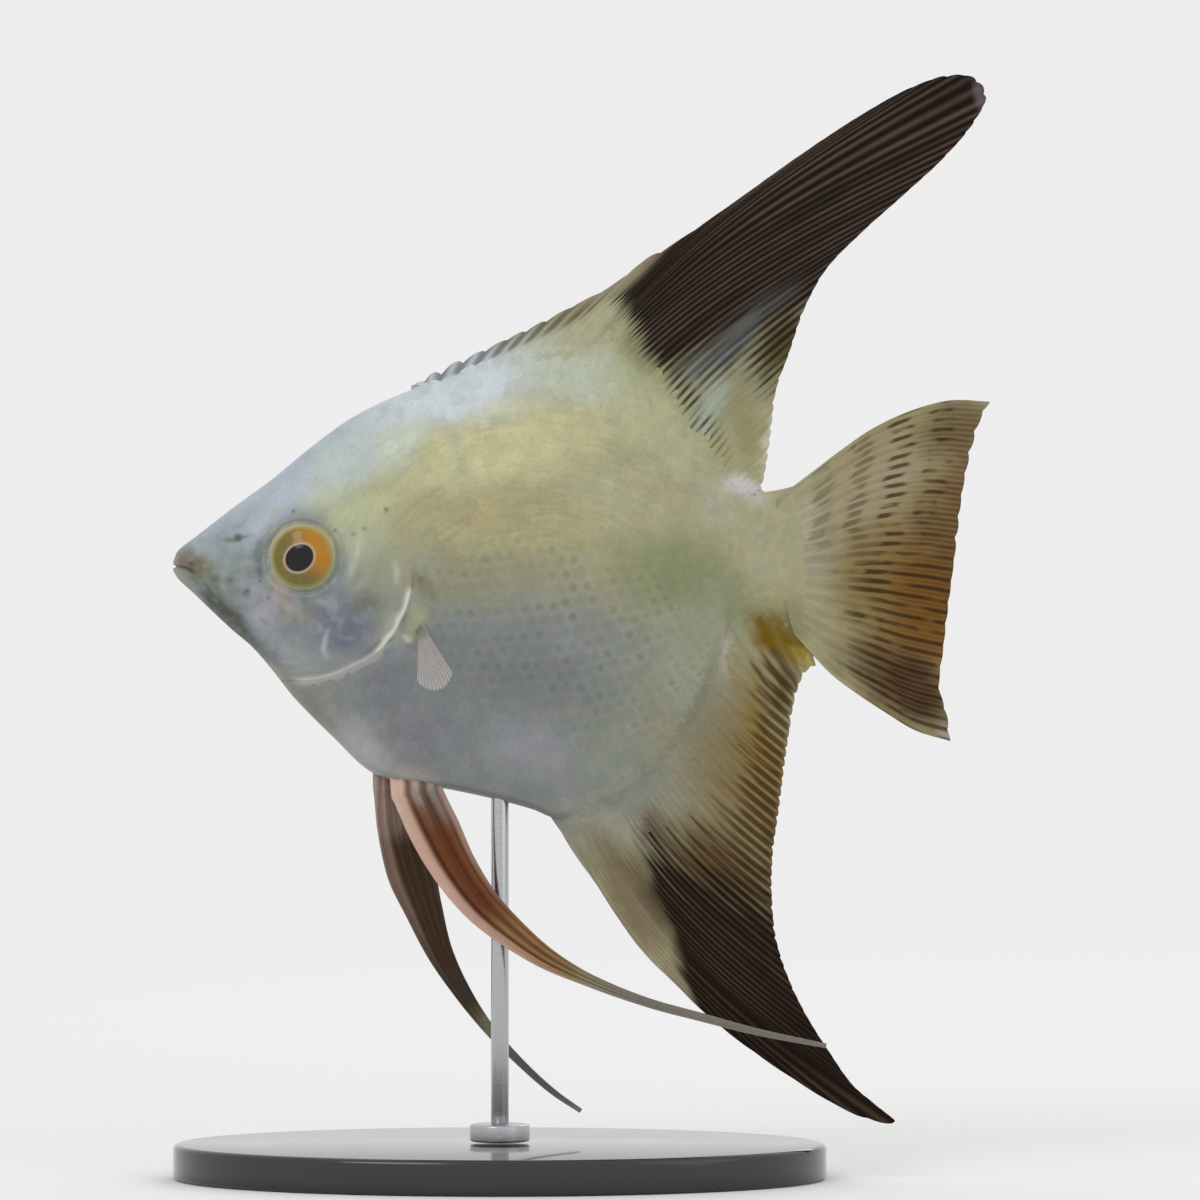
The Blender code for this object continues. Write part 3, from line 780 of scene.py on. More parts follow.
    def plain(self, x: Array, z: Array) -> Array:
        """Half of the flesh's thickness, before any relief."""
        low, high = self.edges(x)
        level = np.clip((z - low) / np.maximum(high - low, 0.01) * 2 - 1, -1.0, 1.0)
        edge = np.where(level > 0, Curve.through(self.ridge)(x), Curve.through(self.keel)(x))
        wide = np.maximum(Curve.through(self.half_width)(x), edge)
        full = (1 - np.abs(level) ** self.section_power) ** self.section_round
        return edge + (wide - edge) * full

    def gill_strength(self, z: Array) -> Array:
        """How free the gill cover's rear edge is at each height. Higher up it is grown over."""
        return smoothstep(z, -1.0, -5.5)

    def gill_step(self, x: Array, z: Array, ahead: bool) -> Array:
        """The lift of the gill cover's rear edge, or the sunk skin just behind it."""
        offset, _ = Path(self.gill).beside(x, z, 9.0)
        height, reach = self.gill_edge if ahead else self.gill_sink
        return self.gill_strength(z) * height * bell(offset, reach)

    def skin(self, x: Array, z: Array, ahead: bool = False) -> Array:
        """Half of the finished skin's thickness.

        Args:
            x: How far back each point of the side view is.
            z: How high it is.
            ahead: Whether the points lie on the gill cover, or behind the gill opening.

        Returns:
            The distance of the skin from the middle plane.
        """
        inset = self.inset(x, z)
        base = self.plain(x, z) - self.coat
        relief = self.gill_step(x, z, ahead)
        for form in (*self.folds, *self.pits):
            relief = relief + form.relief(x, z)
        base = base + relief * smoothstep(inset, 0.1, 0.9)
        far = np.hypot(x - self.eye.x, z - self.eye.z)
        floor, rim, edge = self.lids
        socket = self.eye.height(x, z) + self.slack - self.socket * smoothstep(far, rim, floor)
        base = base + (socket - base) * smoothstep(far, edge, rim)
        return base * np.sqrt(1 - (1 - np.clip(inset / self.rim, 0.0, 1.0)) ** 2)


# ---- the skin


@dataclass(frozen=True)
class Line:
    """A painted line that follows a form, with its half width and strength."""

    points: Points
    width: float
    strength: float = 1.0
    ends: float = 0.2

    def mask(self, x: Array, z: Array) -> Array:
        """The line's strength at each point."""
        tiny = 1e-6  # so that a line may run on to its end
        offset, share = Path(self.points).beside(x, z, 3 * self.width)
        run_out = smoothstep(share, -tiny, self.ends) * smoothstep(share, 1 + tiny, 1 - self.ends)
        return self.strength * bell(offset, self.width) * run_out


@dataclass(frozen=True)
class Spot:
    """A small painted spot."""

    x: float
    z: float
    radius: float
    strength: float = 1.0

    def mask(self, x: Array, z: Array) -> Array:
        """The spot's strength at each point."""
        return self.strength * bell(np.hypot(x - self.x, z - self.z), self.radius)


def coons(
    u: Array, v: Array, bottom: Path, top: Path, left: Path, right: Path
) -> tuple[Array, Array]:
    """A patch stretched between four paths.

    Args:
        u: Share of the way from the left path to the right one.
        v: Share of the way from the bottom path to the top one.
        bottom: From the left path's start to the right one's.
        top: From the left path's end to the right one's.
        left: The path at u = 0.
        right: The path at u = 1.

    Returns:
        x and z at each place.
    """
    ends = {(i, j): path.at(i) for j, path in ((0, bottom), (1, top)) for i in (0, 1)}
    u, v = u[:, None], v[:, None]
    across = left.at(v[:, 0]) * (1 - u) + right.at(v[:, 0]) * u
    along = bottom.at(u[:, 0]) * (1 - v) + top.at(u[:, 0]) * v
    low, high = (ends[0, j] * (1 - u) + ends[1, j] * u for j in (0, 1))
    corners = low * (1 - v) + high * v
    return tuple((across + along - corners).T)


@dataclass
class Skin:
    """One closed skin over the head, gill covers, trunk and tail stalk."""

    form: BodyForm
    paint: "SkinPaint"
    head_columns: int = 132
    trunk_columns: int = 112
    rows: int = 176
    rim_rows: int = 6
    snout: Points = ((0.0, -1.5), (-0.02, -1.2), (0.4, -0.88), (0.0, -0.55), (0.0, -0.2))
    tail_end: Points = ((89.0, 11.2), (89.6, 5.0), (89.8, 0.0), (90.0, -6.0), (90.6, -13.9))
    crowding: float = 1.1  # above 1 the head's columns lie closer at the snout
    spread: float = 0.3  # how much wider the trunk's columns grow toward the tail
    tuck: float = 0.45  # how far the gill cover's edge turns in, of its height over the trunk
    undercut: float = 0.4  # how far the skin runs forwards under the edge of the gill cover
    tail_fade: float = 3.0  # over this distance from the tail's end the flesh thins out
    apart: float = 0.02  # the least half thickness
    weld: float = 0.001  # vertices closer than this become one
    pale: tuple[Line | Spot, ...] = ()
    dark: tuple[Line | Spot, ...] = ()

    def outline(self, points: Points, start: float, end: float) -> Path:
        """The stretch of the back or belly between two places."""
        xs = np.linspace(start, end, 400)
        return Path(np.column_stack([xs, Curve.through(points)(xs)]))

    def half(self, x: Array, z: Array, ahead: bool) -> Array:
        """Half of the skin's thickness, which never lets the two sides touch inside the rims."""
        return np.maximum(self.form.skin(x, z, ahead), self.apart)

    def levels(self, up: Array, length: Array) -> Array:
        """The share of the height at each vertex, with the first rows rounding the rim."""
        edge = np.minimum(self.form.rim / length, 0.3)
        row, last = up * self.rows, self.rows
        near = np.minimum(row, last - row)
        curl = edge * (1 - np.cos(np.minimum(near / self.rim_rows, 1.0) * math.pi / 2))
        inner = edge + (1 - 2 * edge) * (near - self.rim_rows) / (last - 2 * self.rim_rows)
        share = np.where(near < self.rim_rows, curl, inner)
        return np.where(row <= last / 2, share, 1 - share)

    def patch(self, u: Array, up: Array, paths: tuple[Path, ...]) -> tuple[Array, Array]:
        """x and z of a patch's vertices, evened out along each column."""
        columns, steps = np.unique(u), 25
        tall = np.linspace(0.0, 1.0, steps)
        x, z = coons(np.repeat(columns, steps), np.tile(tall, len(columns)), *paths)
        x, z = x.reshape(-1, steps), z.reshape(-1, steps)
        runs = np.hypot(np.diff(x), np.diff(z)).sum(axis=1)
        return coons(u, self.levels(up, np.interp(u, columns, runs)), *paths)

    def head(self, paths: tuple[Path, ...]) -> Object:
        """The left half of the head, out to the tucked edge of the gill cover."""
        obj, across, up = sheet("skin_head", self.head_columns, self.rows, "sheet")
        column = np.round(across * self.head_columns)
        main = self.head_columns - 2
        x, z = self.patch(np.minimum(column / main, 1.0) ** self.crowding, up, paths)
        y = self.half(x, z, ahead=True)
        y[column == 0] = 0.0
        move_points(obj, self.tucked(x, y, z, column - main, up))
        return obj

    def tucked(self, x: Array, y: Array, z: Array, past: Array, up: Array) -> Array:
        """Turns columns past the gill cover's edge in under it, and closes the rims."""
        strength = self.form.gill_strength(z) * smoothstep(self.form.inset(x, z), 0.0, 1.0)
        low = self.half(x, z, ahead=False)
        y = np.where(past == 1, y - self.tuck * (y - low) * strength, y)
        y = np.where(past >= 2, low, y)
        x = x - np.where(past >= 2, self.undercut, 0.0) * strength
        rim = np.abs(up - 0.5) > 0.4999  # the lowest and highest rows
        return LAYOUT.place(x, -np.where(rim, 0.0, y), z)

    def trunk(self, paths: tuple[Path, ...]) -> Object:
        """The left half of the trunk and stalk, from under the gill cover to the tail."""
        obj, across, up = sheet("skin_trunk", self.trunk_columns, self.rows, "sheet")
        column = np.round(across * self.trunk_columns)
        share = np.maximum(column - 1, 0.0) / (self.trunk_columns - 1)
        x, z = self.patch((1 - self.spread) * share + self.spread * share**2, up, paths)
        y = self.form.skin(x, z, ahead=False)
        ending, _ = paths[3].beside(x, z, self.tail_fade)
        left = np.clip(np.abs(ending) / self.tail_fade, 0.0, 1.0)
        y = np.maximum(y * left * (2 - left), self.apart)
        y[column == self.trunk_columns] = 0.0
        move_points(obj, self.tucked(x, y, z, np.where(column == 0, 2, 0), up))
        return obj

    def build(self) -> Object:
        """Joins the head and trunk, mirrors them, and carries the painted lines."""
        form = self.form
        gill = np.array(form.gill)
        gill[0, 1] = Curve.through(form.back)(gill[0, 0])
        gill[-1, 1] = Curve.through(form.belly)(gill[-1, 0])
        gill = Path(gill[::-1])
        throat, nape = gill.at(0.0)[0], gill.at(1.0)[0]
        end = Path(tuple(reversed(self.tail_end)))
        low, high = end.at(0.0)[0], end.at(1.0)[0]
        front = (self.outline(form.belly, 0.0, throat), self.outline(form.back, 0.0, nape))
        rear = (self.outline(form.belly, throat, low), self.outline(form.back, nape, high))
        join(self.head((*front, Path(self.snout), gill)), self.trunk((*rear, gill, end)))
        obj = named("body_skin")
        edit(obj, self.close)
        modified(obj, "MIRROR", use_axis=(False, True, False), merge_threshold=2 * self.weld * MM)
        edit(obj, self.close, outwards)
        self.carry_lines(obj)
        nodes = ("head", "lower_jaw", "gill_cover_left", "gill_cover_right", "trunk", "tail_stalk")
        return dress(obj, self.paint.make(obj), nodes)

    def close(self) -> None:
        """Makes one of selected vertices that lie at the same place."""
        bpy.ops.mesh.remove_doubles(threshold=self.weld * MM)

    def carry_lines(self, obj: Object) -> None:
        """Stores how pale and how dark the painted lines make each point. The dark ones include
        painted shade in creases, grooves and pits.
        """
        spots = points_of(obj) / MM - np.array(LAYOUT.origin)
        x, z = spots[:, 0], spots[:, 2]
        for name, lines in (("pale", self.pale), ("dark", self.dark)):
            total = np.zeros(len(x))
            for line in lines:
                total = np.maximum(total, line.mask(x, z))
            store(obj, name, total)


# ---- paint


FLESH = "9F9B77"
EYE = (LAYOUT.eye_x, LAYOUT.eye_z)

BODY_SPRAYS = (
    Spray(45, -21, 46, 26, -8, "7E8282", soft=0.6),
    Spray(66, -24, 16, 18, -30, "858A7A"),
    Spray(72, -3, 15, 10, -20, "7F8560", soft=0.8),
    Spray(73, -13, 8, 13, -28, "91957E"),
    # The next three sprays are the pale silver band along the back: the scales' own silver, with a
    # painted sheen and highlight where light falls on the back.
    Spray(21, 15.5, 18, 7.5, 36, "ACB8BF", soft=0.7),
    Spray(40, 24.5, 20, 8, 15, "C0CACE", soft=0.7),
    Spray(57, 26.5, 13, 7.5, -12, "B5BBA9", soft=0.8),
    Spray(68, 20, 13, 8, -48, "A9AA86", soft=0.8),
    # A painted highlight along the upper flank, in a pale olive.
    Spray(46, 15.5, 27, 8, 12, "BCB98E", soft=0.8),
    Spray(47, 5.5, 20, 6, 2, "A69D75"),
    Spray(62, 9, 11, 7, -25, "A9A785", 0.8),
    Spray(50, -17, 17, 8, -14, "737777", 0.8),
    Spray(36, -24, 9, 7, -20, "787A82", 0.8),
    Spray(50, -28, 12, 5, -10, "8C8D90", 0.8),
    Spray(26.5, -26.5, 9, 5, -42, "A1A0A4", soft=0.8),
    Spray(19, -20.5, 8, 4, -48, "7E8075", soft=0.8),
    Spray(83.5, 2, 6, 7, 0, "A39F80", 0.8),
    Spray(87, -8.5, 6, 5, 0, "857C55", 0.9),
    Spray(80.5, 9.6, 4.6, 2.4, -15, "BDBABB", 0.8),
    Spray(77, 9, 7, 6, -20, "A9AB98", 0.5),
    Spray(72, -27.5, 16, 7, -60, "8D8973", 0.9),
    Spray(60.5, -37, 8, 4, -35, "9A9A8A", 0.85),
    Spray(66.5, 28.5, 8, 4, -50, "8C8F66", 0.8),
    Spray(30.5, -17.5, 6, 8, 20, "6C6F78", 0.65),
    Spray(43, -3, 15, 5.5, 4, "8D8D6C", 0.55),
    Spray(31.5, 16, 8, 4, 38, "C0C9B8", 0.8),
    Spray(47.5, 21.3, 10, 3.2, 8, "CBCCAF", 0.6),
    Spray(33.5, -30, 4.6, 2.4, -22, "B0A59C", 0.6),
    Spray(50, -25.5, 8, 4, -10, "94929C", 0.6),
)

HEAD_SPRAYS = (
    Spray(15, -3, 19, 15, -20, "7D8488", soft=0.4),
    Spray(12.5, 8.5, 19, 6, 38, "A9B3BE", soft=0.7),
    Spray(24, 13, 9, 6.5, 38, "AFBAB6", soft=0.8),
    Spray(26.5, 6.5, 9, 5, 25, "B1B48E", soft=0.8),
    Spray(6.5, 1, 6, 3, 40, "8E9798", soft=0.8),
    Spray(8.5, 4.6, 8, 2.8, 40, "8E989F", 0.75),
    Spray(12.8, -5.6, 5, 3.4, -42, "9A9AA2"),
    Spray(16.5, -13, 7, 3.2, -32, "8F9395", soft=0.8),
    Spray(8, -8, 11, 2.3, -47, "474D43", soft=0.7),
    Spray(18, -7.6, 5.5, 2.4, -8, "7D7C70", 0.9),
    Spray(29, -3.5, 5, 7, 0, "898D7B", soft=0.8),
    Spray(24.6, -10, 5.8, 5.2, -30, "656879", soft=0.8),
    Spray(26.8, -5.8, 4, 2.4, 0, "62655F", 0.8),
    Spray(21.8, -7.2, 1.8, 1.4, 0, "5E6068", 0.6),
    Spray(17, -11.3, 3.4, 1.5, -30, "7C8987", 0.7),
    Spray(29.5, -11, 3, 2, 50, "8D8F80", 0.8),
    Spray(5, -2, 5.5, 3.4, -35, "7C8576", 0.8),
    Spray(2.6, -0.4, 5, 3.2, -25, "6D6852", soft=0.8),
    Spray(2.3, -0.2, 1, 0.7, 0, "5C3A2A", 0.8),
    Spray(6.1, -3, 1.1, 2, 20, "525D52", 0.7),
    Spray(10.6, -4.4, 1, 0.8, 0, "5F5E68", 0.6),
    Spray(28.5, 0.5, 6.5, 5, 0, "979B7F", 0.85),
    Spray(26.5, 2.5, 6, 4, 10, "AEB193", 0.8),
    Spray(21.5, 8.8, 6, 2.8, 30, "B6BDA5", 0.75),
    Spray(31, -9.5, 2.4, 3.6, 25, "A3A59B", 0.7),
    Spray(9, -1.6, 4, 2.8, -30, "88938B", 0.8),
    Spray(11.6, -7.8, 4.5, 1.8, -42, "A2A3AE", 0.75),
    Spray(8.8, 3, 2.8, 0.8, 12, "6F7A72", 0.7),
    Spray(12.4, -0.6, 0.9, 2.8, -6, "5F6963", 0.75),
    Spray(15.6, -6.3, 3.6, 1.5, -18, "9A8C82", 0.8),
    Spray(*EYE, 5.8, 5.8, 0, "B6B38A", 0.9, 0.4),
    Spray(15, -3.6, 3, 1.6, -50, "C0AC9C", 0.6),
)

GILL_SPRAYS = (
    Spray(34.4, -8.4, 2.3, 3.8, 10, "9C9E77", 0.85),
    Spray(33.6, -10.3, 1.3, 1.1, 0, "C2C0A4", 0.8),
    Spray(35.6, -3.5, 1.4, 4.2, 25, "726C52", 0.6),
)


class SkinPaint:
    """The flesh colours: a base coat, soft sprays with a painted sheen and highlight along the
    back, mottling, and lines that the mesh carries, some of them painted shade in creases and
    pits.
    """

    extra: tuple[Spray, ...] = HEAD_SPRAYS + GILL_SPRAYS  # over those of the body
    roughness: float = 0.42
    gloss: float = 0.12

    def near(self, obj: Object) -> tuple[Spray, ...]:
        """The sprays that reach a piece."""
        spots = points_of(obj)
        low, high = Vector(spots.min(0)), Vector(spots.max(0))
        return tuple(s for s in BODY_SPRAYS + self.extra if s.touches(low, high))

    def flesh(self, graph: Graph, obj: Object) -> Shade:
        """The flesh colour at each place, mottled."""
        colour = graph.sprayed(linear(FLESH), self.near(obj), graph.wander())
        tint = graph.noise(3.0, 4.0)
        colour = graph.over(colour, "9A8F78", graph.step(tint, 0.5, 0.8) * 0.28)
        colour = graph.over(colour, "7F9690", graph.step(tint, 0.5, 0.22) * 0.28)
        face = graph.oval(Spray(15.0, -3.0, 18.0, 12.0, -25.0, soft=0.5))
        plates = graph.noise(2.1, 1.0)
        colour = graph.over(colour, "A9ADB6", graph.step(plates, 0.48, 0.78) * face * 0.4)
        colour = graph.over(colour, "6A776C", graph.step(plates, 0.5, 0.24) * face * 0.4)
        arch = graph.oval(Spray(48.0, 10.0, 30.0, 15.0, 4.0, soft=0.5))
        arcs = (graph.arcs(52.0, -14.0) - 0.5) * arch
        broad, fine = graph.noise(3.4, 3.0) - 0.5, graph.noise(0.5, 2.0) - 0.5
        return graph.shaded(colour, broad * 0.2 + fine * 0.24 + arcs * 0.36 + 1.0)

    def make(self, obj: Object) -> Material:
        """The skin's material, for the piece that wears it."""
        graph = Graph("living_skin")
        colour = self.flesh(graph, obj)
        # Over it go the dark lines, which include painted shade in the head's creases, grooves and
        # pits, and then the pale lines.
        colour = graph.over(colour, "3A3A33", graph.attribute("dark") * 0.75)
        colour = graph.over(colour, "D8D8CC", graph.attribute("pale") * 0.85)
        freckle = graph.step(graph.noise(0.28, 1.0), 0.66, 0.74)
        colour = graph.over(colour, "4A4C3E", freckle * 0.22)
        pebble = graph.noise(0.35, 2.0) * 0.6 + graph.noise(0.9, 1.0) * 0.4
        normal = graph.bump(pebble, 0.05, 0.6)
        rough = graph.noise(1.2, 2.0) * 0.16 + (self.roughness - 0.08)
        graph.finish(Base_Color=colour, Roughness=rough, Normal=normal, Coat_Weight=self.gloss)
        return graph.finish(Coat_Roughness=0.22, Specular_IOR_Level=0.3)


@dataclass
class ScalePaint(SkinPaint):
    """The scales' colours: the flesh under them, with a soft dark dot on the flank's scales."""

    name: str = "flank_scales"
    extra: tuple[Spray, ...] = HEAD_SPRAYS + GILL_SPRAYS
    roughness: float = 0.36
    gloss: float = 0.12
    shine: float = 0.32

    def make(self, obj: Object) -> Material:
        """The scales' material."""
        graph = Graph(self.name)
        colour = self.flesh(graph, obj)
        across, along, _ = graph.parted(graph.uv("scale"))
        centre = graph.vector("LENGTH", graph.joined(across * 1.2, (along - 0.7) * 3.4))
        dot = graph.step(centre, 1.1, 0.05)
        zone = graph.oval(Spray(54.0, -11.0, 33.0, 20.0, -14.0, soft=0.7))
        own = graph.attribute("tone")
        uneven = graph.step(graph.noise(4.5, 2.0), 0.32, 0.6) * 0.75 + 0.25
        dark = dot * (own * 0.36 + 0.1) * uneven * (zone * 0.95 + 0.06)
        colour = graph.over(colour, "43463F", dark)
        colour = graph.shaded(colour, (own - 0.5) * 0.12 + 1.0)
        rings = graph.math("SINE", centre * 30.0) * 0.5 + 0.5
        normal = graph.bump(rings * 0.3 + graph.noise(0.25, 2.0) * 0.7, 0.02, 0.5)
        rough = graph.noise(1.2, 2.0) * 0.14 + (self.roughness - 0.07)
        graph.finish(Base_Color=colour, Roughness=rough, Normal=normal, Coat_Weight=self.gloss)
        return graph.finish(Coat_Roughness=0.2, Specular_IOR_Level=self.shine)


# ---- the eyes


@dataclass
class Eye:
    """A glossy eyeball with a raised lens, a dished iris and a groove round it."""

    form: EyeForm
    segments: int = 96
    rings: int = 72

    def relief(self, far: Array) -> Array:
        """The fine form of the ball's face, far from its axis."""
        lens = 0.24 * np.clip(1 - (far / self.form.pupil) ** 2, 0.0, 1.0)
        ring = 0.05 * bell(far - 2.35, 0.2)
        dish = 0.12 * bell(far - 3.3, 0.8)
        groove = 0.06 * bell(far - 4.6, 0.15)
        return lens + ring - dish - groove

    def build(self, side: Side) -> Object:
        """One eye, in its socket."""
        form = self.form
        deselect()
        bpy.ops.mesh.primitive_uv_sphere_add(segments=self.segments, ring_count=self.rings)
        obj = named("eye_ball_" + side.word)
        spots = points_of(obj)
        behind, above = spots[:, 0] * form.radius, spots[:, 1] * form.radius
        far = np.hypot(behind, above)
        outer = form.centre_y + form.dome(far) + self.relief(far)
        inner = form.centre_y - form.dome(far)
        out = np.where(spots[:, 2] >= 0, outer, inner) + behind * math.tan(math.radians(form.turn))
        obj.data.uv_layers[0].name = "iris"
        fill_map(obj, "iris", np.column_stack([behind, above]))
        move_points(obj, LAYOUT.place(form.x + behind, side.value * out, form.z + above))
        edit(obj, outwards)
        return dress(obj, self.paint(), ("eye_" + side.word,))

    def paint(self) -> Material:
        """Black lens, cream ring, an iris from olive to orange gold, and a wet gloss."""
        graph = Graph("golden_eye")
        plane = graph.uv("iris")
        far = graph.vector("LENGTH", plane)
        settings = {
            "Vector": plane, "Location": (-0.35, -0.1, 0.0), "Scale": (2.04, 1.76, 1.0),
            "Rotation": (0.0, 0.0, math.radians(38)),
        }
        turned = graph.node("Mapping", {"vector_type": "TEXTURE"}, settings)
        oval = graph.vector("LENGTH", turned.outputs[0])
        spokes = graph.noise(0.12, 3.0, graph.vector("NORMALIZE", plane))
        streaks = spokes * 0.6 + graph.noise(0.5, 2.0, plane) * 0.4
        right, up, _ = graph.parted(plane)
        warm = graph.step(right * 0.9 + up * 0.35, -1.4, 2.6)
        colour = graph.mix(warm, linear("6E6228"), linear("AC760E"))
        colour = graph.over(colour, "6C673C", graph.step(up, -1.2, -3.8) * 0.75)
        colour = graph.over(colour, "B07C24", graph.step(streaks, 0.45, 0.75) * 0.2)
        colour = graph.over(colour, "9C9658", graph.step(far, 3.7, 4.3) * 0.8)
        colour = graph.over(colour, "B79C84", graph.step(oval, 1.3, 1.1) * 0.85)
        colour = graph.over(colour, "050505", graph.step(oval, 1.06, 0.98))
        colour = graph.over(colour, "BCB88C", graph.step(far, 4.2, 4.6))
        graph.finish(Base_Color=colour, Roughness=0.2, Coat_Weight=0.5)
        return graph.finish(Coat_Roughness=0.03, Specular_IOR_Level=0.15)


# ---- the coat of scales


@dataclass
class ScaleCoat:
    """Overlapping scales on the trunk and stalk, smaller where the body is lower."""

    form: BodyForm
    paint: ScalePaint
    pitch: float = 1.95  # from one scale to the next along a row, where the body is deepest
    row_gap: float = 2.0
    length: float = 1.75  # of a scale, in pitches
    width: float = 1.28  # of a scale, in row gaps
    climb: float = 0.13  # how the rows rise toward the tail
    level_x: float = 56.0  # where the rows cross their own height
    climb_start: tuple[float, float] = (26.0, 44.0)  # where they begin to rise
    span: tuple[float, float] = (12.0, 90.0)  # where they are laid out
    gill_gap: float = 1.1  # how far behind the gill opening the scales start
    edge_gap: float = 0.8  # how far inside the outline they end, where no fin grows
    edge_size: float = 0.72  # the share of their size that they keep at the outline
    tail_x: float = 86.5  # none behind this
    nape: tuple[float, float] = (29.0, 24.0)  # none that are both ahead of and above this
    stray: float = 0.1  # how far scales stray from the rows' regular places
    lift: float = 0.03  # of a scale's rear edge, and how far its root sinks
    thickness: float = 0.04
    crown: float = 0.015  # how much a scale stands up along its middle
    cells: int = 5
    patch: float = 0.003  # the size of a scale's patch on the bake map
    unwrapped: float = 100.0  # millimetres of skin across the bake map
    seed: int = 11

    def plate(self) -> tuple[Array, list[list[int]]]:
        """One scale as a thin closed plate.

        Returns:
            Its vertices as rows of across from -1 to 1, along from 0 to 1 and height in
            millimetres, and its faces.
        """
        obj, s, t = sheet("scale_pattern", self.cells, self.cells, "scale")
        s, t = 2 * s - 1, 2 * t - 1
        p, q = s * np.sqrt(1 - 0.5 * t * t), t * np.sqrt(1 - 0.5 * s * s)
        move_points(obj, np.column_stack([p, 0.5 + 0.5 * q, self.crown * (1 - p * p)]))
        modified(obj, "SOLIDIFY", thickness=self.thickness, offset=-1.0)
        spots, faces = points_of(obj), [list(f.vertices) for f in obj.data.polygons]
        bpy.data.objects.remove(obj)
        return spots, faces

    def lattice(self) -> Array:
        """The scales' middles in staggered rows, with each row's slope and the scales' size."""
        form = self.form
        xs = np.linspace(*self.span, 800)
        low, high = form.edges(xs)
        size = np.sqrt((high - low) / (high - low).max())
        passed = np.concatenate([[0.0], np.cumsum(np.diff(xs) / (self.pitch * size[:-1]))])
        rows = int(40.0 / self.row_gap) + 4
        found = []
        for row in range(-rows, rows + 1):
            x = np.interp(np.arange(0.0, passed[-1]) + 0.5 * (row % 2), passed, xs)
            grown = np.interp(x, xs, size)
            risen = self.climb * (x - self.level_x) * smoothstep(x, *self.climb_start)
            z = row * self.row_gap * grown + risen
            found.append(np.column_stack([x, z, np.arctan(np.gradient(z, x)), grown]))
        scales = np.vstack(found)
        chance = np.random.default_rng(self.seed + 1)
        scales[:, :2] += chance.normal(0.0, self.stray, (len(scales), 2))
        x, z = scales[:, 0], scales[:, 1]
        inset = form.inset(x, z)
        scales[:, 3] *= self.edge_size + (1 - self.edge_size) * smoothstep(inset, 0.0, 5.0)
        reach = 30.0
        gill, _ = Path(form.gill).beside(x, z, reach)
        behind = (gill > self.gill_gap) & (gill < reach) | (x > 36.0)
        inside = inset > np.where(form.rooted(x, z) > 0.3, 0.0, self.edge_gap)
        ahead, above = x <= self.nape[0], z >= self.nape[1]
        return scales[behind & inside & (x < self.tail_x) & ~(ahead & above)]

    def unwrap(self, x: Array, z: Array) -> Array:
        """Places on the flank laid flat: lengths along the skin from the snout and the axis."""
        xs, zs = np.linspace(10.0, 92.0, 165), np.linspace(-40.0, 34.0, 149)
        grid_x, grid_z = np.meshgrid(xs, zs, indexing="ij")
        y = self.form.skin(grid_x.ravel(), grid_z.ravel()).reshape(grid_x.shape)
        steps_z = np.hypot(np.diff(y, axis=1), np.diff(zs)[None, :])
        steps_x = np.hypot(np.diff(y, axis=0), np.diff(xs)[:, None])
        up = np.concatenate([np.zeros((len(xs), 1)), np.cumsum(steps_z, axis=1)], axis=1)
        up -= up[:, [np.argmin(np.abs(zs))]]
        back = np.concatenate([np.zeros((1, len(zs))), np.cumsum(steps_x, axis=0)], axis=0)
        i = np.clip(np.round((x - xs[0]) / (xs[1] - xs[0])).astype(int), 0, len(xs) - 1)
        j = np.clip(np.round((z - zs[0]) / (zs[1] - zs[0])).astype(int), 0, len(zs) - 1)
        return np.column_stack([back[i, j], up[i, j]]) / self.unwrapped + (0.05, 0.5)

    def build(self, side: Side, name: str = "scales") -> Object:
        """One side's scales as one mesh."""
        name = f"{name}_{side.word}"
        plate, faces = self.plate()
        scales = self.lattice()
        chance = np.random.default_rng(self.seed)
        turn = scales[:, 2] + chance.normal(0.0, 0.05, len(scales))
        size = scales[:, 3] * chance.uniform(0.94, 1.06, len(scales))
        raised = self.lift * chance.uniform(0.75, 1.25, len(scales))
        across = plate[None, :, 0] * (size * self.row_gap * self.width / 2)[:, None]
        along = (plate[None, :, 1] - 0.5) * (size * self.pitch * self.length)[:, None]
        x = scales[:, :1] + along * np.cos(turn)[:, None] - across * np.sin(turn)[:, None]
        z = scales[:, 1:2] + along * np.sin(turn)[:, None] + across * np.cos(turn)[:, None]
        tilt = (plate[None, :, 1] * 2 - 1) * raised[:, None] * scales[:, 3:4]
        flat_x, flat_z = x.ravel(), z.ravel()
        y, lean_x, lean_z = self.surface(flat_x, flat_z)
        out = (tilt + plate[None, :, 2] * scales[:, 3:4]).ravel()
        out /= np.sqrt(1 + lean_x**2 + lean_z**2)
        spots = LAYOUT.place(flat_x - lean_x * out, side.value * (y + out), flat_z - lean_z * out)
        count = len(plate)
        corners = [[count * k + i for i in face] for k in range(len(scales)) for face in faces]
        mesh = bpy.data.meshes.new(name)
        mesh.from_pydata(spots.tolist(), [], corners)
        obj = bpy.data.objects.new(name, mesh)
        bpy.context.scene.collection.objects.link(obj)
        self.maps(obj, plate, self.unwrap(scales[:, 0], scales[:, 1]))
        store(obj, "tone", np.repeat(chance.uniform(0.0, 1.0, len(scales)), count))
        edit(obj, outwards)
        return dress(obj, self.paint.make(obj), (), angle=60.0)

    def surface(self, x: Array, z: Array) -> tuple[Array, Array, Array]:
        """The skin's half thickness and how it leans along x and z."""
        step = 0.15
        y = self.ground(x, z)
        lean_x = (self.ground(x + step, z) - y) / step
        lean_z = (self.ground(x, z + step) - y) / step
        return y, np.clip(lean_x, -1.5, 1.5), np.clip(lean_z, -1.5, 1.5)

    def ground(self, x: Array, z: Array) -> Array:
        """Half of the thickness of what the scales grow on."""
        return np.maximum(self.form.skin(x, z), self.form.rooted(x, z))

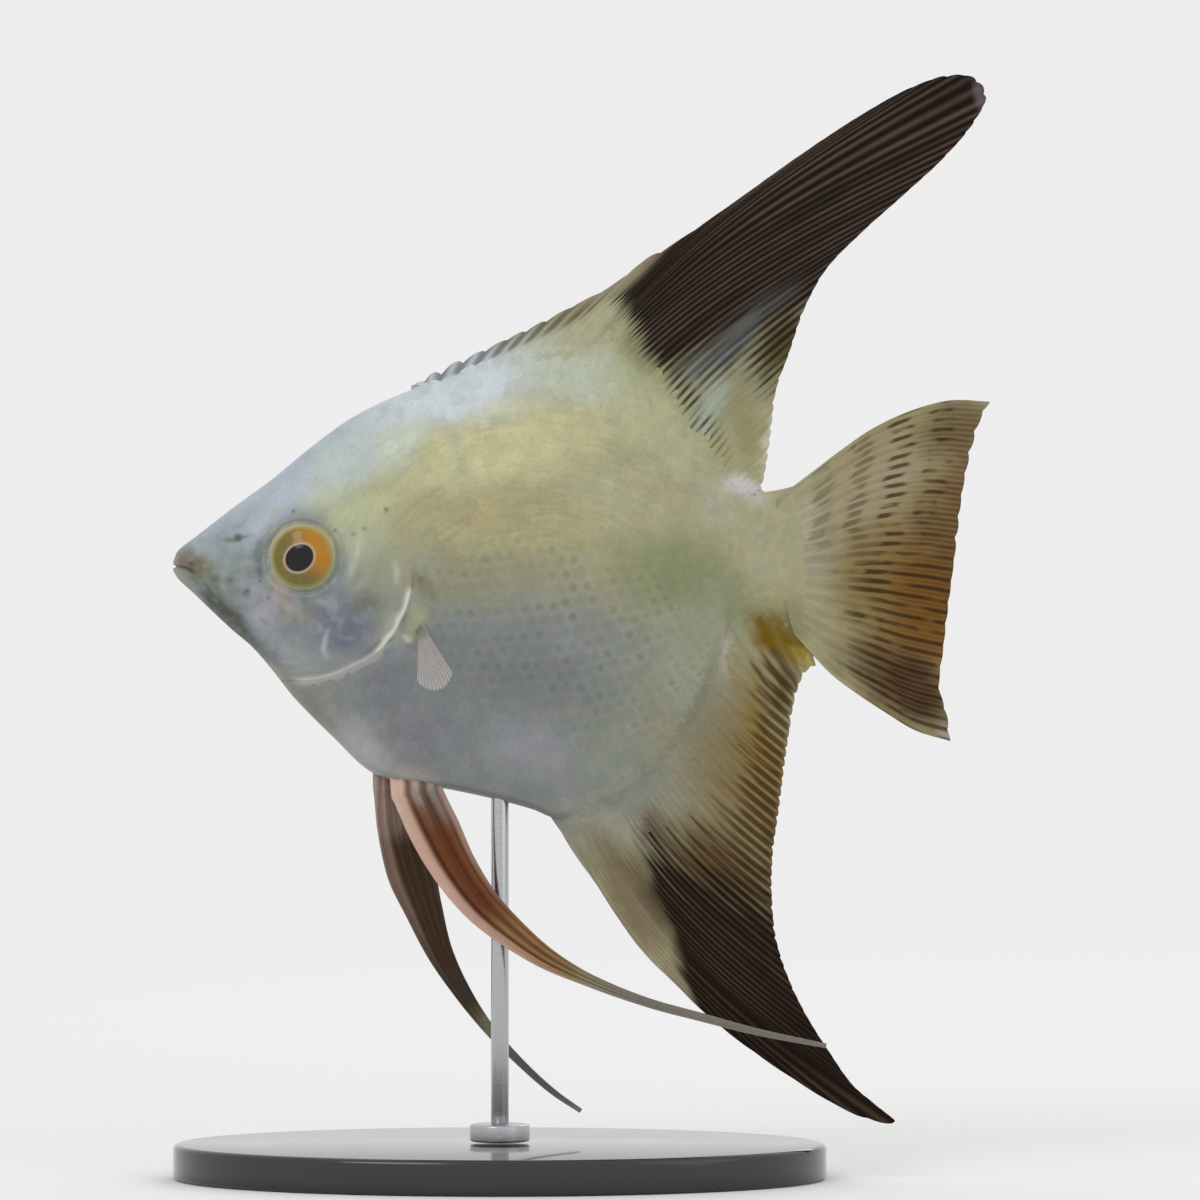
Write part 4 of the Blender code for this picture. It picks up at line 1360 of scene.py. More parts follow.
    def maps(self, obj: Object, plate: Array, roots: Array) -> None:
        """The bake map of small patches on the unwrapped skin, and a map of each scale's face."""
        own = np.tile(plate[:, :2], (len(roots), 1))
        off = np.column_stack([own[:, 0] / 2, own[:, 1] - 0.5])
        fill_map(obj, BAKE_MAP, np.repeat(roots, len(plate), axis=0) + self.patch * off)
        fill_map(obj, "scale", own)


# ---- fins


@dataclass
class Fin:
    """A fin as a thin closed solid: rays stand out from the membrane on both sides.

    Subclasses say where each place on the fin lies. s runs from 0 to 1 over the rays and r from
    the root to the margin. The map "rays" has the number of the ray and r.
    """

    name: str
    slot: str
    rays: int
    rows: int
    finish: "FinPaint"
    per_ray: int = 6
    membrane: float = 0.2
    ray: float = 0.46
    root: float = 2.1
    fleshy: float = 2.8  # the fin's thickness falls off over this distance from the root
    notch: float = 0.3  # how far the margin draws back between rays
    ray_width: float = 0.13
    seed: int = 5

    TAPER: ClassVar[float] = 0.45  # how much lower the rays are at the margin
    THIN_EDGE: ClassVar[float] = 0.35  # how much thinner the margin is

    def off_ray(self, s: Array) -> Array:
        """How far from the nearest ray each place is, from 0 to a half between two."""
        count = s * (self.rays - 1)
        return np.abs(count - np.round(count))

    def spot(self, s: Array, r: Array) -> tuple[Array, Array, Array]:
        """x, y and z of places on the fin's middle sheet."""
        raise NotImplementedError

    def far(self, s: Array, r: Array) -> Array:
        """How far from the root each place is, in millimetres."""
        raise NotImplementedError

    def standing(self, s: Array, r: Array) -> Array:
        """1 on a ray and 0 on the membrane between two."""
        return bell(self.off_ray(s), self.ray_width)

    def drawn_back(self, s: Array) -> Array:
        """How far the margin lies behind the ray tips, a little differently between each two."""
        depth = np.random.default_rng(self.seed).uniform(0.4, 1.5, self.rays + 1)
        between = np.floor(s * (self.rays - 1)).astype(int)
        return self.notch * depth[between] * (2 * self.off_ray(s)) ** 2

    def blade(self, s: Array, r: Array, grown: Array | float = 1.0) -> Array:
        """The thickness of the membrane and the rays, where the rays have grown by a share."""
        standing = self.standing(s, r) * (1 - self.TAPER * r) * grown
        thin = self.membrane + (self.ray - self.membrane) * standing
        return thin * (1 - self.THIN_EDGE * smoothstep(r, 0.85, 1.0))

    def thickness(self, s: Array, r: Array) -> Array:
        """The fin's whole thickness at each place."""
        flesh = (self.root - self.membrane) * np.exp(-self.far(s, r) / self.fleshy)
        return self.blade(s, r) + flesh

    def build(self) -> Object:
        """The fin, standing for its CAD node."""
        columns = (self.rays - 1) * self.per_ray
        obj, s, r = sheet(self.name + "_rays", columns, self.rows, "rays")
        fill_map(obj, "rays", np.column_stack([s * (self.rays - 1), r]))
        move_points(obj, LAYOUT.place(*self.spot(s, r)))
        thick = self.thickness(s, r)
        store(obj, "rib", self.standing(s, r))
        share = np.round(thick / thick.max() * 100).astype(int)
        group = obj.vertex_groups.new(name="thickness")
        for level in np.unique(share):
            group.add(np.flatnonzero(share == level).tolist(), level / 100, "REPLACE")
        modified(
            obj, "SOLIDIFY", thickness=thick.max() * MM, offset=0.0, vertex_group="thickness",
            thickness_vertex_group=0.0,
        )
        obj.vertex_groups.clear()
        edit(obj, outwards)
        return dress(obj, self.finish.make(obj), (self.name,))


@dataclass
class MedianFin(Fin):
    """The dorsal or the anal fin: rays from the body's edge to a margin, bent as they trail."""

    foot: Path = None
    margin: Path = None
    plan: Points = ()  # shares of the foot and of the margin that rays join, evenly over the rays
    bow: float = 3.4  # how far the longest ray bends forwards
    sway: float = 1.2  # how far the fin leans to a side, at 40 mm from its root
    longest: float = 65.0
    bend_power: float = 0.8
    spines: float = 0.0  # the share of the rays that are stiff spines with free tips
    spine_notch: float = 2.2  # how much deeper the margin draws back between them
    skin_fade: float = 1.5  # over this distance from the body the fin's own blade begins
    form: BodyForm = None

    def reach(self, s: Array) -> tuple[Array, Array, Array]:
        """Where rays start, which way they run and how long they are."""
        steps = np.linspace(0.0, 1.0, len(self.plan))
        starts, ends = (Curve(steps, [p[k] for p in self.plan])(s) for k in (0, 1))
        foot = self.foot.at(starts)
        run = self.margin.at(ends) - foot
        return foot, run, np.maximum(np.hypot(run[:, 0], run[:, 1]), 0.01)

    def far(self, s: Array, r: Array) -> Array:
        """The length of the ray up to each place."""
        return r * self.reach(s)[2]

    def spot(self, s: Array, r: Array) -> tuple[Array, Array, Array]:
        """Places along the bent rays."""
        foot, run, length = self.reach(s)
        forward = np.stack([-run[:, 1], run[:, 0]], axis=-1) / length[:, None]
        bend = self.bow * (length / self.longest) ** 1.5 * np.sin(math.pi * r**self.bend_power)
        stiff = smoothstep(s, self.spines, self.spines - 0.04) * (self.spines > 0)
        short = np.minimum(self.drawn_back(s) * (1 + self.spine_notch * stiff), 0.3 * length)
        at = foot + run * (r * (length - short) / length)[:, None] + forward * bend[:, None]
        side = self.sway * (r * length / 40.0) ** 2 * np.sin(2.2 * s + 0.6)
        return at[:, 0], side, at[:, 1]

    def half_at(self, x: Array, z: Array) -> Array:
        """Roughly half of the fin's thickness near its root."""
        thin = (self.membrane + 0.3 * (self.ray - self.membrane)) / 2
        beyond = self.form.beyond(x, z)
        return self.form.rooted(x, z) + thin * (1 - np.exp(-beyond / self.skin_fade))

    def thickness(self, s: Array, r: Array) -> Array:
        """Thin, but for a root that carries on the body's slope."""
        x, _, z = self.spot(s, r)
        beyond = self.form.beyond(x, z)
        blade = self.blade(s, r, 1 - np.exp(-beyond / (2 * self.skin_fade)))
        rooted = np.maximum(2 * self.form.rooted(x, z), 0.04)
        return rooted + blade * (1 - np.exp(-beyond / self.skin_fade))


@dataclass
class TailFin(Fin):
    """The tail: a fan between its root and its three edges. Its rays branch twice."""

    length: float = 27.0
    wave: float = 1.3  # how far the margin waves to the sides

    root_line: Points = ((87.4, -10.4), (86.2, -6.0), (85.8, 0.0), (85.4, 5.0), (84.9, 8.4))
    upper: Points = (
        (84.9, 8.4), (86.9, 10.1), (89.8, 12.3), (93.6, 15.2), (98.4, 18.5), (104.0, 21.1),
        (109.4, 22.5), (115.0, 22.3),
    )
    lower: Points = (
        (87.4, -10.4), (90.4, -13.7), (92.6, -16.0), (96.0, -18.6), (100.4, -21.5), (104.6, -24.0),
        (109.5, -25.5),
    )
    trailing: Points = (
        (109.5, -25.5), (109.0, -21.6), (108.0, -18.0), (108.5, -12.7), (109.5, -4.2),
        (110.4, 3.0), (111.2, 9.9), (112.4, 15.6), (113.6, 19.6), (115.0, 22.3),
    )

    def far(self, s: Array, r: Array) -> Array:
        """Roughly the distance from the root."""
        return r * self.length

    def standing(self, s: Array, r: Array) -> Array:
        """1 on a ray and 0 between. A ray comes out of the flesh, becomes two, and then four."""
        found = 0.0
        for doubling, (start, end) in ((1, (-1.0, 0.42)), (2, (0.36, 0.72)), (4, (0.66, 2.0))):
            count = (s * (self.rays - 1) - (0.5 - 0.5 / doubling)) * doubling
            off = np.abs(count - np.round(count))
            begun = smoothstep(r, start - 0.05, start + 0.05)
            share = begun * smoothstep(r, end + 0.05, end - 0.05)
            found = found + share * bell(off, self.ray_width * (1 + 0.22 * doubling))
        edge = bell(np.minimum(s, 1 - s) * (self.rays - 1), 0.2)
        return np.maximum(found, edge) * smoothstep(r, 0.0, 0.2)

    def spot(self, s: Array, r: Array) -> tuple[Array, Array, Array]:
        """Places between the four edges. s runs from the lower lobe to the upper one."""
        reach = r * (1 - self.drawn_back(s) / self.length)
        edges = (self.lower, self.upper, self.root_line, self.trailing)
        x, z = coons(reach, s, *map(Path, edges))
        return x, self.wave * r * r * np.sin(3.0 * (1 - s) - 0.9), z


@dataclass
class PelvicFin(Fin):
    """A long blade that narrows to a thread, cupped across."""

    stations: tuple[tuple[float, float, float, float], ...] = ()  # x, z, width, distance outwards
    side: Side = Side.LEFT
    belly: Curve = None
    buried: float = 1.4  # how far the root runs into the body
    length: float = 75.0
    start_run: tuple[float, float] = (0.17, -0.985)  # which way the fin leaves the body
    cup: float = 0.5  # how deep the blade is cupped where it is 6 mm wide
    sunk: float = 0.6  # how far toward the middle plane the root starts

    def tracks(self) -> list[Curve]:
        """x, z, width and outward distance by the share of the length."""
        stations = np.array(self.stations)
        chords = run_lengths(stations[:, :2])
        return [Curve(chords / chords[-1], stations[:, k], limited=k > 1) for k in range(4)]

    def far(self, s: Array, r: Array) -> Array:
        """The distance from the root."""
        return r * self.length

    def thickness(self, s: Array, r: Array) -> Array:
        """A stiff leading edge, and a round thread at the end."""
        return super().thickness(s, r) + 0.35 * bell(s, 0.08) * (1 - r)

    def spot(self, s: Array, r: Array) -> tuple[Array, Array, Array]:
        """Places across the blade at each share of its length."""
        x_at, z_at, width, out = self.tracks()
        step = 0.01
        ahead, behind = np.minimum(r + step, 1.0), np.maximum(r - step, 0.0)
        run = np.stack([x_at(ahead) - x_at(behind), z_at(ahead) - z_at(behind)], axis=-1)
        run /= np.hypot(*run.T)[:, None]
        rooted = 1.0 - smoothstep(r, 0.0, 0.14)[:, None]
        run = run * (1 - rooted) + np.array(self.start_run) * rooted
        run /= np.hypot(*run.T)[:, None]
        across = (s - 0.5) * width(r)
        x = x_at(r) - run[:, 1] * across
        z = z_at(r) + run[:, 0] * across
        z = np.where(r < 1e-6, self.belly(x) + self.buried, z)
        cup = self.cup * width(r) / 6.0 * (2 * s - 1) ** 2
        return x, self.side.value * (out(r) - cup - self.sunk * rooted[:, 0]), z


@dataclass
class PectoralFin(Fin):
    """A rounded fan held out and back from the flank."""

    side: Side = Side.LEFT
    root_x: float = 35.0
    root_z: float = -9.4
    root_y: float = 6.9
    length: float = 15.0
    first_ray: float = -110.0  # the way of the lowest ray, in degrees
    fan: float = 36.0
    sunk: float = 0.9  # how far the root starts inside the flank

    def far(self, s: Array, r: Array) -> Array:
        """The distance from the root."""
        return r * self.length

    def spot(self, s: Array, r: Array) -> tuple[Array, Array, Array]:
        """Places along the spread rays."""
        spread = np.radians(self.first_ray + self.fan * s)
        length = self.length * (0.74 + 0.26 * np.sin(math.pi * (0.15 + 0.75 * s)))
        length = length - self.drawn_back(s)
        start = 1.9 * (s - 0.5)
        reach = r * length
        sunk = self.sunk * (1 - smoothstep(r, 0.0, 0.12))
        out = 0.86 * reach - 0.012 * reach**2 - sunk
        x = self.root_x + 0.6 * (np.cos(spread) * reach + start * 0.35) + 0.2 * reach
        z = self.root_z + 0.58 * (np.sin(spread) * reach + start)
        return x, self.side.value * (self.root_y + out), z


@dataclass
class SheathCoat(ScaleCoat):
    """The small scales that run from the body onto the root of a fin, in rows along its rays."""

    fin: Fin = None
    depths: Points = ()  # by share of the rays, how far they reach
    row_gap: float = 1.15
    pitch: float = 1.0
    lift: float = 0.02
    thickness: float = 0.03

    def ground(self, x: Array, z: Array) -> Array:
        """The body's skin, or the fin where it stands out further."""
        return np.maximum(super().ground(x, z), self.fin.half_at(x, z))

    def grown(self, share: Array) -> Array:
        """The size of the scales along a row."""
        return 1.15 - 0.75 * share

    def lattice(self) -> Array:
        """Scales in staggered rows along the rays, smaller further up."""
        chance = np.random.default_rng(self.seed)
        depth = Curve.through(self.depths)
        along = np.linspace(self.depths[0][0], self.depths[-1][0], 400)
        passed = run_lengths(self.places(along, np.full(along.shape, 0.04)))
        rows = np.interp(np.arange(0.0, passed[-1], self.row_gap * 0.62), passed, along)
        found = []
        for row, s in enumerate(rows):
            shares = np.linspace(0.0, 0.9, 300)
            passed = run_lengths(self.places(np.full(shares.shape, s), shares))
            end = min(depth(s) * chance.uniform(0.5, 1.1), passed[-1])
            steps, at_step = [], 0.2 + 0.5 * (row % 2) * self.pitch
            while at_step < end:
                steps.append(at_step)
                at_step += self.pitch * self.grown(at_step / end)
            if not steps:
                continue
            at = np.interp(steps, passed, shares)
            here = self.places(np.full(at.shape, s), at)
            run = self.places(np.full(at.shape, s), at + 0.01) - here
            grown = self.grown(np.array(steps) / end)
            found.append(np.column_stack([here, np.arctan2(run[:, 1], run[:, 0]), grown]))
        return np.vstack(found)

    def places(self, s: Array, r: Array) -> Array:
        """Rows of x and z of places on the fin."""
        x, _, z = self.fin.spot(s, r)
        return np.column_stack([x, z])


# ---- fin paint


@dataclass
class FinPaint(SkinPaint):
    """A fin's colours: the flesh runs into it, then its sprays, its rays and the membrane."""

    name: str = "fin"
    extra: tuple[Spray, ...] = ()
    ray_paint: str = "8A7A62"
    ray_strength: float = 0.35
    gap_paint: str = "1E140E"
    gap_strength: float = 0.3
    gap_zones: tuple[Spray, ...] = ()
    joints: float = 70.0  # ray segments from root to margin
    cloudy: float = 1.0  # below 1, how opaque the membrane is
    most: float = 0.8  # how opaque the rays of a cloudy fin are
    lean: float = 0.0  # the way the rays run, in degrees
    ragged: float = 3.0  # how far colours run out along single rays, in millimetres

    def own(self, graph: Graph, colour: Shade, ray: Shade, along: Shade, rib: Shade) -> Shade:
        """What only this fin has, before the rays. The base class adds nothing."""
        return colour

    def grain(
        self, graph: Graph, ray: Shade, along: Shade, size: float, longer: float,
        detail: float = 1.0,
    ) -> Shade:
        """Noise that runs along the rays.

        Args:
            graph: The material's graph.
            ray: The number of the ray.
            along: The share of its length.
            size: The size of the grains in ray widths.
            longer: How many times longer they are than wide.
            detail: How many finer layers the noise has.

        Returns:
            The noise, from 0 to 1.
        """
        return graph.noise(size, detail, graph.joined(ray, along * 20.0), (1, longer, 1))

    def streaked(self, graph: Graph, ray: Shade, along: Shade) -> Shade:
        """The wandering place, moved along the rays by a different amount on each."""
        run = math.radians(self.lean)
        shift = (self.grain(graph, ray, along, 0.8, 9) - 0.5) * (2.0 * self.ragged * MM)
        moved = graph.joined(shift * math.cos(run), 0.0, shift * math.sin(run))
        return graph.vector("ADD", graph.wander(), moved)

    def make(self, obj: Object) -> Material:
        """The fin's material."""
        graph = Graph(self.name)
        ray, along, _ = graph.parted(graph.uv("rays"))
        where = self.streaked(graph, ray, along)
        colour = graph.sprayed(linear(FLESH), self.near(obj), where)
        rib = graph.attribute("rib")
        colour = self.own(graph, colour, ray, along, rib)
        streak = graph.step(self.grain(graph, ray, along, 0.7, 14), 0.3, 0.5)
        gap = graph.step(rib, 0.4, 0.05) * streak * self.zones(graph, where)
        colour = graph.over(colour, self.gap_paint, gap * self.gap_strength)
        colour = graph.over(colour, self.ray_paint, rib * self.ray_strength)
        colour = graph.shaded(colour, (graph.noise(1.6, 3.0) - 0.5) * 0.3 + 1.0)
        joint = graph.step(abs(graph.math("FRACT", along * self.joints) - 0.5), 0.5, 0.38)
        normal = graph.bump(joint * rib * 0.5 + graph.noise(0.4, 2.0) * 0.5, 0.03, 0.6)
        rough = graph.noise(1.0, 2.0) * 0.16 + 0.4
        if self.cloudy < 1.0:
            graph.finish(Alpha=(rib * (1 - self.cloudy) + self.cloudy) * self.most)
        graph.finish(Base_Color=colour, Roughness=rough, Normal=normal, Coat_Weight=0.0)
        return graph.finish(Specular_IOR_Level=0.06)

    def past(self, graph: Graph, start: tuple[float, float], end: tuple[float, float]) -> Shade:
        """How far to the left of a line each place is, on the way from its start to its end."""
        x0, _, z0 = LAYOUT.place(start[0], 0.0, start[1])
        run = Vector((end[0] - start[0], 0.0, end[1] - start[1])).normalized()
        offset = graph.vector("SUBTRACT", graph.coordinates, (x0, 0.0, z0))
        return graph.vector("DOT_PRODUCT", offset, (-run.z, 0.0, run.x)) / MM

    def zones(self, graph: Graph, where: Shade) -> Number:
        """Where the membrane between the rays is dark."""
        if not self.gap_zones:
            return 1.0
        total = graph.oval(self.gap_zones[0], where)
        for spray in self.gap_zones[1:]:
            total = graph.math("MAXIMUM", total, graph.oval(spray, where) * spray.strength)
        return total


@dataclass
class DorsalPaint(FinPaint):
    """The dorsal fin: black above a ragged slanting edge, pale at its base and rear."""

    def own(self, graph: Graph, colour: Shade, ray: Shade, along: Shade, rib: Shade) -> Shade:
        """The black field, whose lower edge runs out along the rays."""
        chance = self.grain(graph, ray, along, 0.9, 8) - 0.5
        edge = self.past(graph, (63.2, 38.2), (74.2, 20.8)) + chance * 5.0 - rib * 1.4
        over = self.past(graph, (68.0, 25.0), (88.0, 34.0)) + chance * 6.0 - rib * 1.6
        tan = graph.oval(Spray(60.0, 37.5, 12.0, 2.4, 36.0, soft=0.7))
        black = graph.step(edge, -3.2, -0.4) * graph.step(over, -4.6, 2.6) * (1.0 - tan)
        strands = graph.step(self.grain(graph, ray, along, 1.8, 5, 2.0), 0.3, 0.68)
        night = graph.over(linear("18100C"), "54433A", rib * strands * 0.85)
        low = graph.step(ray, 11.0, 9.5) * graph.step(along, 0.35, 0.6) * (1.0 - rib)
        colour = graph.over(colour, "26201A", low * 0.65)
        colour = graph.mix(black, colour, night)
        haze = graph.oval(Spray(80.8, 33.6, 13.0, 2.6, 38.0, soft=1.0))
        haze = haze * graph.step(chance, -0.2, 0.15) * (1.0 - rib * 0.5)
        colour = graph.over(colour, "666F6E", haze * 0.7)
        tip = graph.oval(Spray(113.9, 65.8, 3.8, 1.5, -80.0, soft=0.8))
        colour = graph.over(colour, "6C6468", tip * 0.6)
        lead = graph.oval(Spray(62.6, 40.0, 11.0, 1.9, 34.5, soft=0.7))
        return graph.over(colour, "9A8A78", lead * 0.9)


@dataclass
class AnalPaint(FinPaint):
    """The anal fin: flesh colour that runs out into dashes at its rear edge and a black tip."""

    def own(self, graph: Graph, colour: Shade, ray: Shade, along: Shade, rib: Shade) -> Shade:
        """The dashes between the rays, and the dark tip behind a pale leading strip."""
        chance = self.grain(graph, ray, along, 0.8, 9) - 0.5
        gap = graph.step(rib, 0.75, 0.2)
        colour = graph.over(colour, "86724A", rib * graph.step(ray, 18.0, 26.0) * 0.3)
        dash = graph.step(along + chance * 0.75, 0.5, 0.8) * graph.step(along, 1.03, 0.95)
        dash = dash * gap * graph.step(ray, 20.0, 27.0) * graph.step(ray, 53.5, 52.0)
        colour = graph.over(colour, "3A2410", dash * 0.8)
        bay = (graph.noise(7.0, 1.0) - 0.5) * 4.0
        right = self.past(graph, (64.9, -38.0), (72.7, -63.0)) + chance * 1.6 + bay
        below = self.past(graph, (84.5, -47.5), (65.0, -37.5)) + chance * 13.0 - rib * 1.5
        dark = graph.step(right, -1.4, 1.6) * graph.step(below, -4.5, 4.0)
        strands = graph.step(self.grain(graph, ray, along, 1.6, 5, 2.0), 0.35, 0.7)
        night = graph.over(linear("1A0F09"), "4E3C2E", rib * strands * 0.7)
        colour = graph.mix(dark, colour, night)
        lead = graph.oval(Spray(70.6, -58.5, 6.5, 1.0, -53.0, soft=0.7))
        return graph.over(colour, "94877A", lead * 0.8)


@dataclass
class PelvicPaint(FinPaint):
    """A pelvic fin: pale strips at its edges, and darker stripes down its core."""

    stripes: float = 0.6

    def own(self, graph: Graph, colour: Shade, ray: Shade, along: Shade, rib: Shade) -> Shade:
        """The stripes, which close up as the fin narrows."""
        wide = graph.step(along, 0.75, 0.4)
        wave = graph.math("COSINE", (ray - 0.9) * 4.2) * 0.5 + 0.5
        core = graph.step(ray, 0.8, 1.5) * graph.step(ray, 5.0, 4.3)
        colour = graph.over(colour, "45200F", (1.0 - wave) * core * wide * self.stripes)
        strip = graph.step(ray, 1.6, 0.8) * graph.step(along, 0.6, 0.2)
        rear = graph.step(ray, 4.2, 4.8) * graph.step(along, 0.4, 0.1)
        colour = graph.over(colour, "D8B6A4", strip * self.stripes)
        return graph.over(colour, "AB9080", rear * self.stripes)


@dataclass
class TailPaint(FinPaint):
    """The tail fin: warm olive, with bands of dark spots between pale rays."""

    bands: Points = ((0.25, 0.4), (0.46, 0.55), (0.66, 1.0), (0.85, 1.0))  # places and strengths

    def own(self, graph: Graph, colour: Shade, ray: Shade, along: Shade, rib: Shade) -> Shade:
        """Bands of short streaks on the upper half, and long streaks on the lower one."""
        patchy = self.grain(graph, ray, along, 0.8, 4)
        single = self.grain(graph, ray, along, 0.9, 60, 0.0) - 0.5
        upper = 0.0
        for band, strength in self.bands:
            off = abs(along - band + single * 0.16)
            upper = graph.step(off, 0.07, 0.03) * strength + upper
        lower = graph.step(along + single * 0.5, 0.4, 0.62)
        below = graph.step(ray, 10.5, 7.5)
        rear = graph.step(along, 0.45, 0.62)
        between = graph.step(graph.math("COSINE", ray * 4.0 * math.pi), -0.35, 0.35)
        streak = upper * (1.0 - below) + lower * below
        streak = streak * (1.0 - rear * (1.0 - between)) * graph.step(patchy, 0.3, 0.52)
        streak = streak * (1.0 - graph.step(rib, 0.2, 0.9) * (1.0 - rear * 0.6))
        ribs = graph.over(linear("9C9074"), "84602B", below * graph.step(along, 0.3, 0.7))
        colour = graph.mix(rib * graph.step(along, 0.05, 0.4) * 0.25, colour, ribs)
        return graph.over(colour, "36230F", streak * 0.8)


# ---- the stand


@dataclass
class Stand:
    """The display stand: an oval acrylic base, a turned collar with a grub screw, a steel rod."""

    segments: int = 160
    bevel: float = 0.8
    collar_bevel: float = 0.3
    rod_bevel: float = 0.15
    play: float = 0.08  # between the rod and the collar's bore
    screw_radius: float = 0.5
    screw_length: float = 0.5
    screw_sunk: float = 0.1
    socket_rim: float = 0.22
    socket_depth: float = 0.3

    def cylinder(self, name: str, like: str, segments: int) -> Object:
        """A cylinder that fills a CAD node's box."""
        low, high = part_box(like)
        deselect()
        bpy.ops.mesh.primitive_cylinder_add(vertices=segments, radius=0.5, depth=1.0)
        obj = named(name)
        size, middle = high - low, (high + low) / 2
        obj.data.transform(Matrix.LocRotScale(middle, None, size))
        return obj

    def eased(self, obj: Object, width: float, segments: int) -> None:
        """Rounds a piece's sharp edges."""
        modified(
            obj, "BEVEL", width=width * MM, segments=segments, limit_method="ANGLE",
            angle_limit=math.radians(60),
        )

    def base(self) -> Object:
        """The base plate, with its edges eased."""
        obj = self.cylinder("stand_base_plate", "stand_base", self.segments)
        self.eased(obj, self.bevel, 4)
        return dress(obj, self.acrylic(), ("stand_base",), angle=40.0)

    def collar(self) -> Object:
        """The collar, bored for the rod, with a grub screw."""
        obj = self.cylinder("stand_collar_ring", "stand_collar", 96)
        rod_low, rod_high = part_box("stand_rod")
        bore = (rod_high.x - rod_low.x) / 2 + self.play * MM
        low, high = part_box("stand_collar")
        edit(
            obj, lambda: bpy.ops.mesh.inset(thickness=(high.x - low.x) / 2 - bore),
            bpy.ops.mesh.bridge_edge_loops, chosen=lambda face: abs(face.normal.z) > 0.9,
        )
        self.eased(obj, self.collar_bevel, 3)
        edit(obj, outwards)
        join(obj, self.screw(low, high))
        return dress(obj, self.steel("collar_steel", 0.34), ("stand_collar",), angle=40.0)

    def screw(self, low: Vector, high: Vector) -> Object:
        """A socket screw in the collar's near side."""
        deselect()
        middle = (low + high) / 2
        middle.y = low.y + self.screw_sunk * MM
        radius, depth = self.screw_radius * MM, self.screw_length * MM
        bpy.ops.mesh.primitive_cylinder_add(vertices=32, radius=radius, depth=depth)
        obj = named("grub_screw")
        obj.data.transform(Matrix.Translation(middle) @ Matrix.Rotation(math.radians(90), 4, "X"))
        push = {"value": (0.0, self.socket_depth * MM, 0.0)}
        edit(
            obj, lambda: bpy.ops.mesh.inset(thickness=self.socket_rim * MM),
            lambda: bpy.ops.mesh.extrude_region_move(TRANSFORM_OT_translate=push),
            chosen=lambda face: face.normal.y < -0.9,
        )
        return obj

    def rod(self) -> Object:
        """The rod."""
        obj = self.cylinder("stand_rod_steel", "stand_rod", 48)
        self.eased(obj, self.rod_bevel, 2)
        return dress(obj, self.steel("rod_steel", 0.24), ("stand_rod",), angle=40.0)

    def acrylic(self) -> Material:
        """Polished black acrylic with the faintest haze."""
        graph = Graph("polished_acrylic")
        haze = graph.noise(14.0, 3.0)
        colour = graph.mix(haze, linear("101012"), linear("18181B"))
        specks = graph.step(graph.noise(0.5, 2.0), 0.62, 0.8)
        graph.finish(Base_Color=colour, Roughness=haze * 0.08 + specks * 0.06 + 0.12)
        return graph.finish(Coat_Weight=0.5, Coat_Roughness=0.05)

    def steel(self, name: str, roughness: float) -> Material:
        """Steel brushed round its axis."""
        graph = Graph(name)
        brush = graph.noise(0.2, 3.0, None, (12.0, 12.0, 0.6))
        colour = graph.mix(brush, linear("A9ABAE"), linear("C4C6C8"))
        rough = brush * 0.16 + (roughness - 0.08)
        normal = graph.bump(brush, 0.01, 0.4)
        return graph.finish(Base_Color=colour, Metallic=1.0, Roughness=rough, Normal=normal)


# ---- the studio


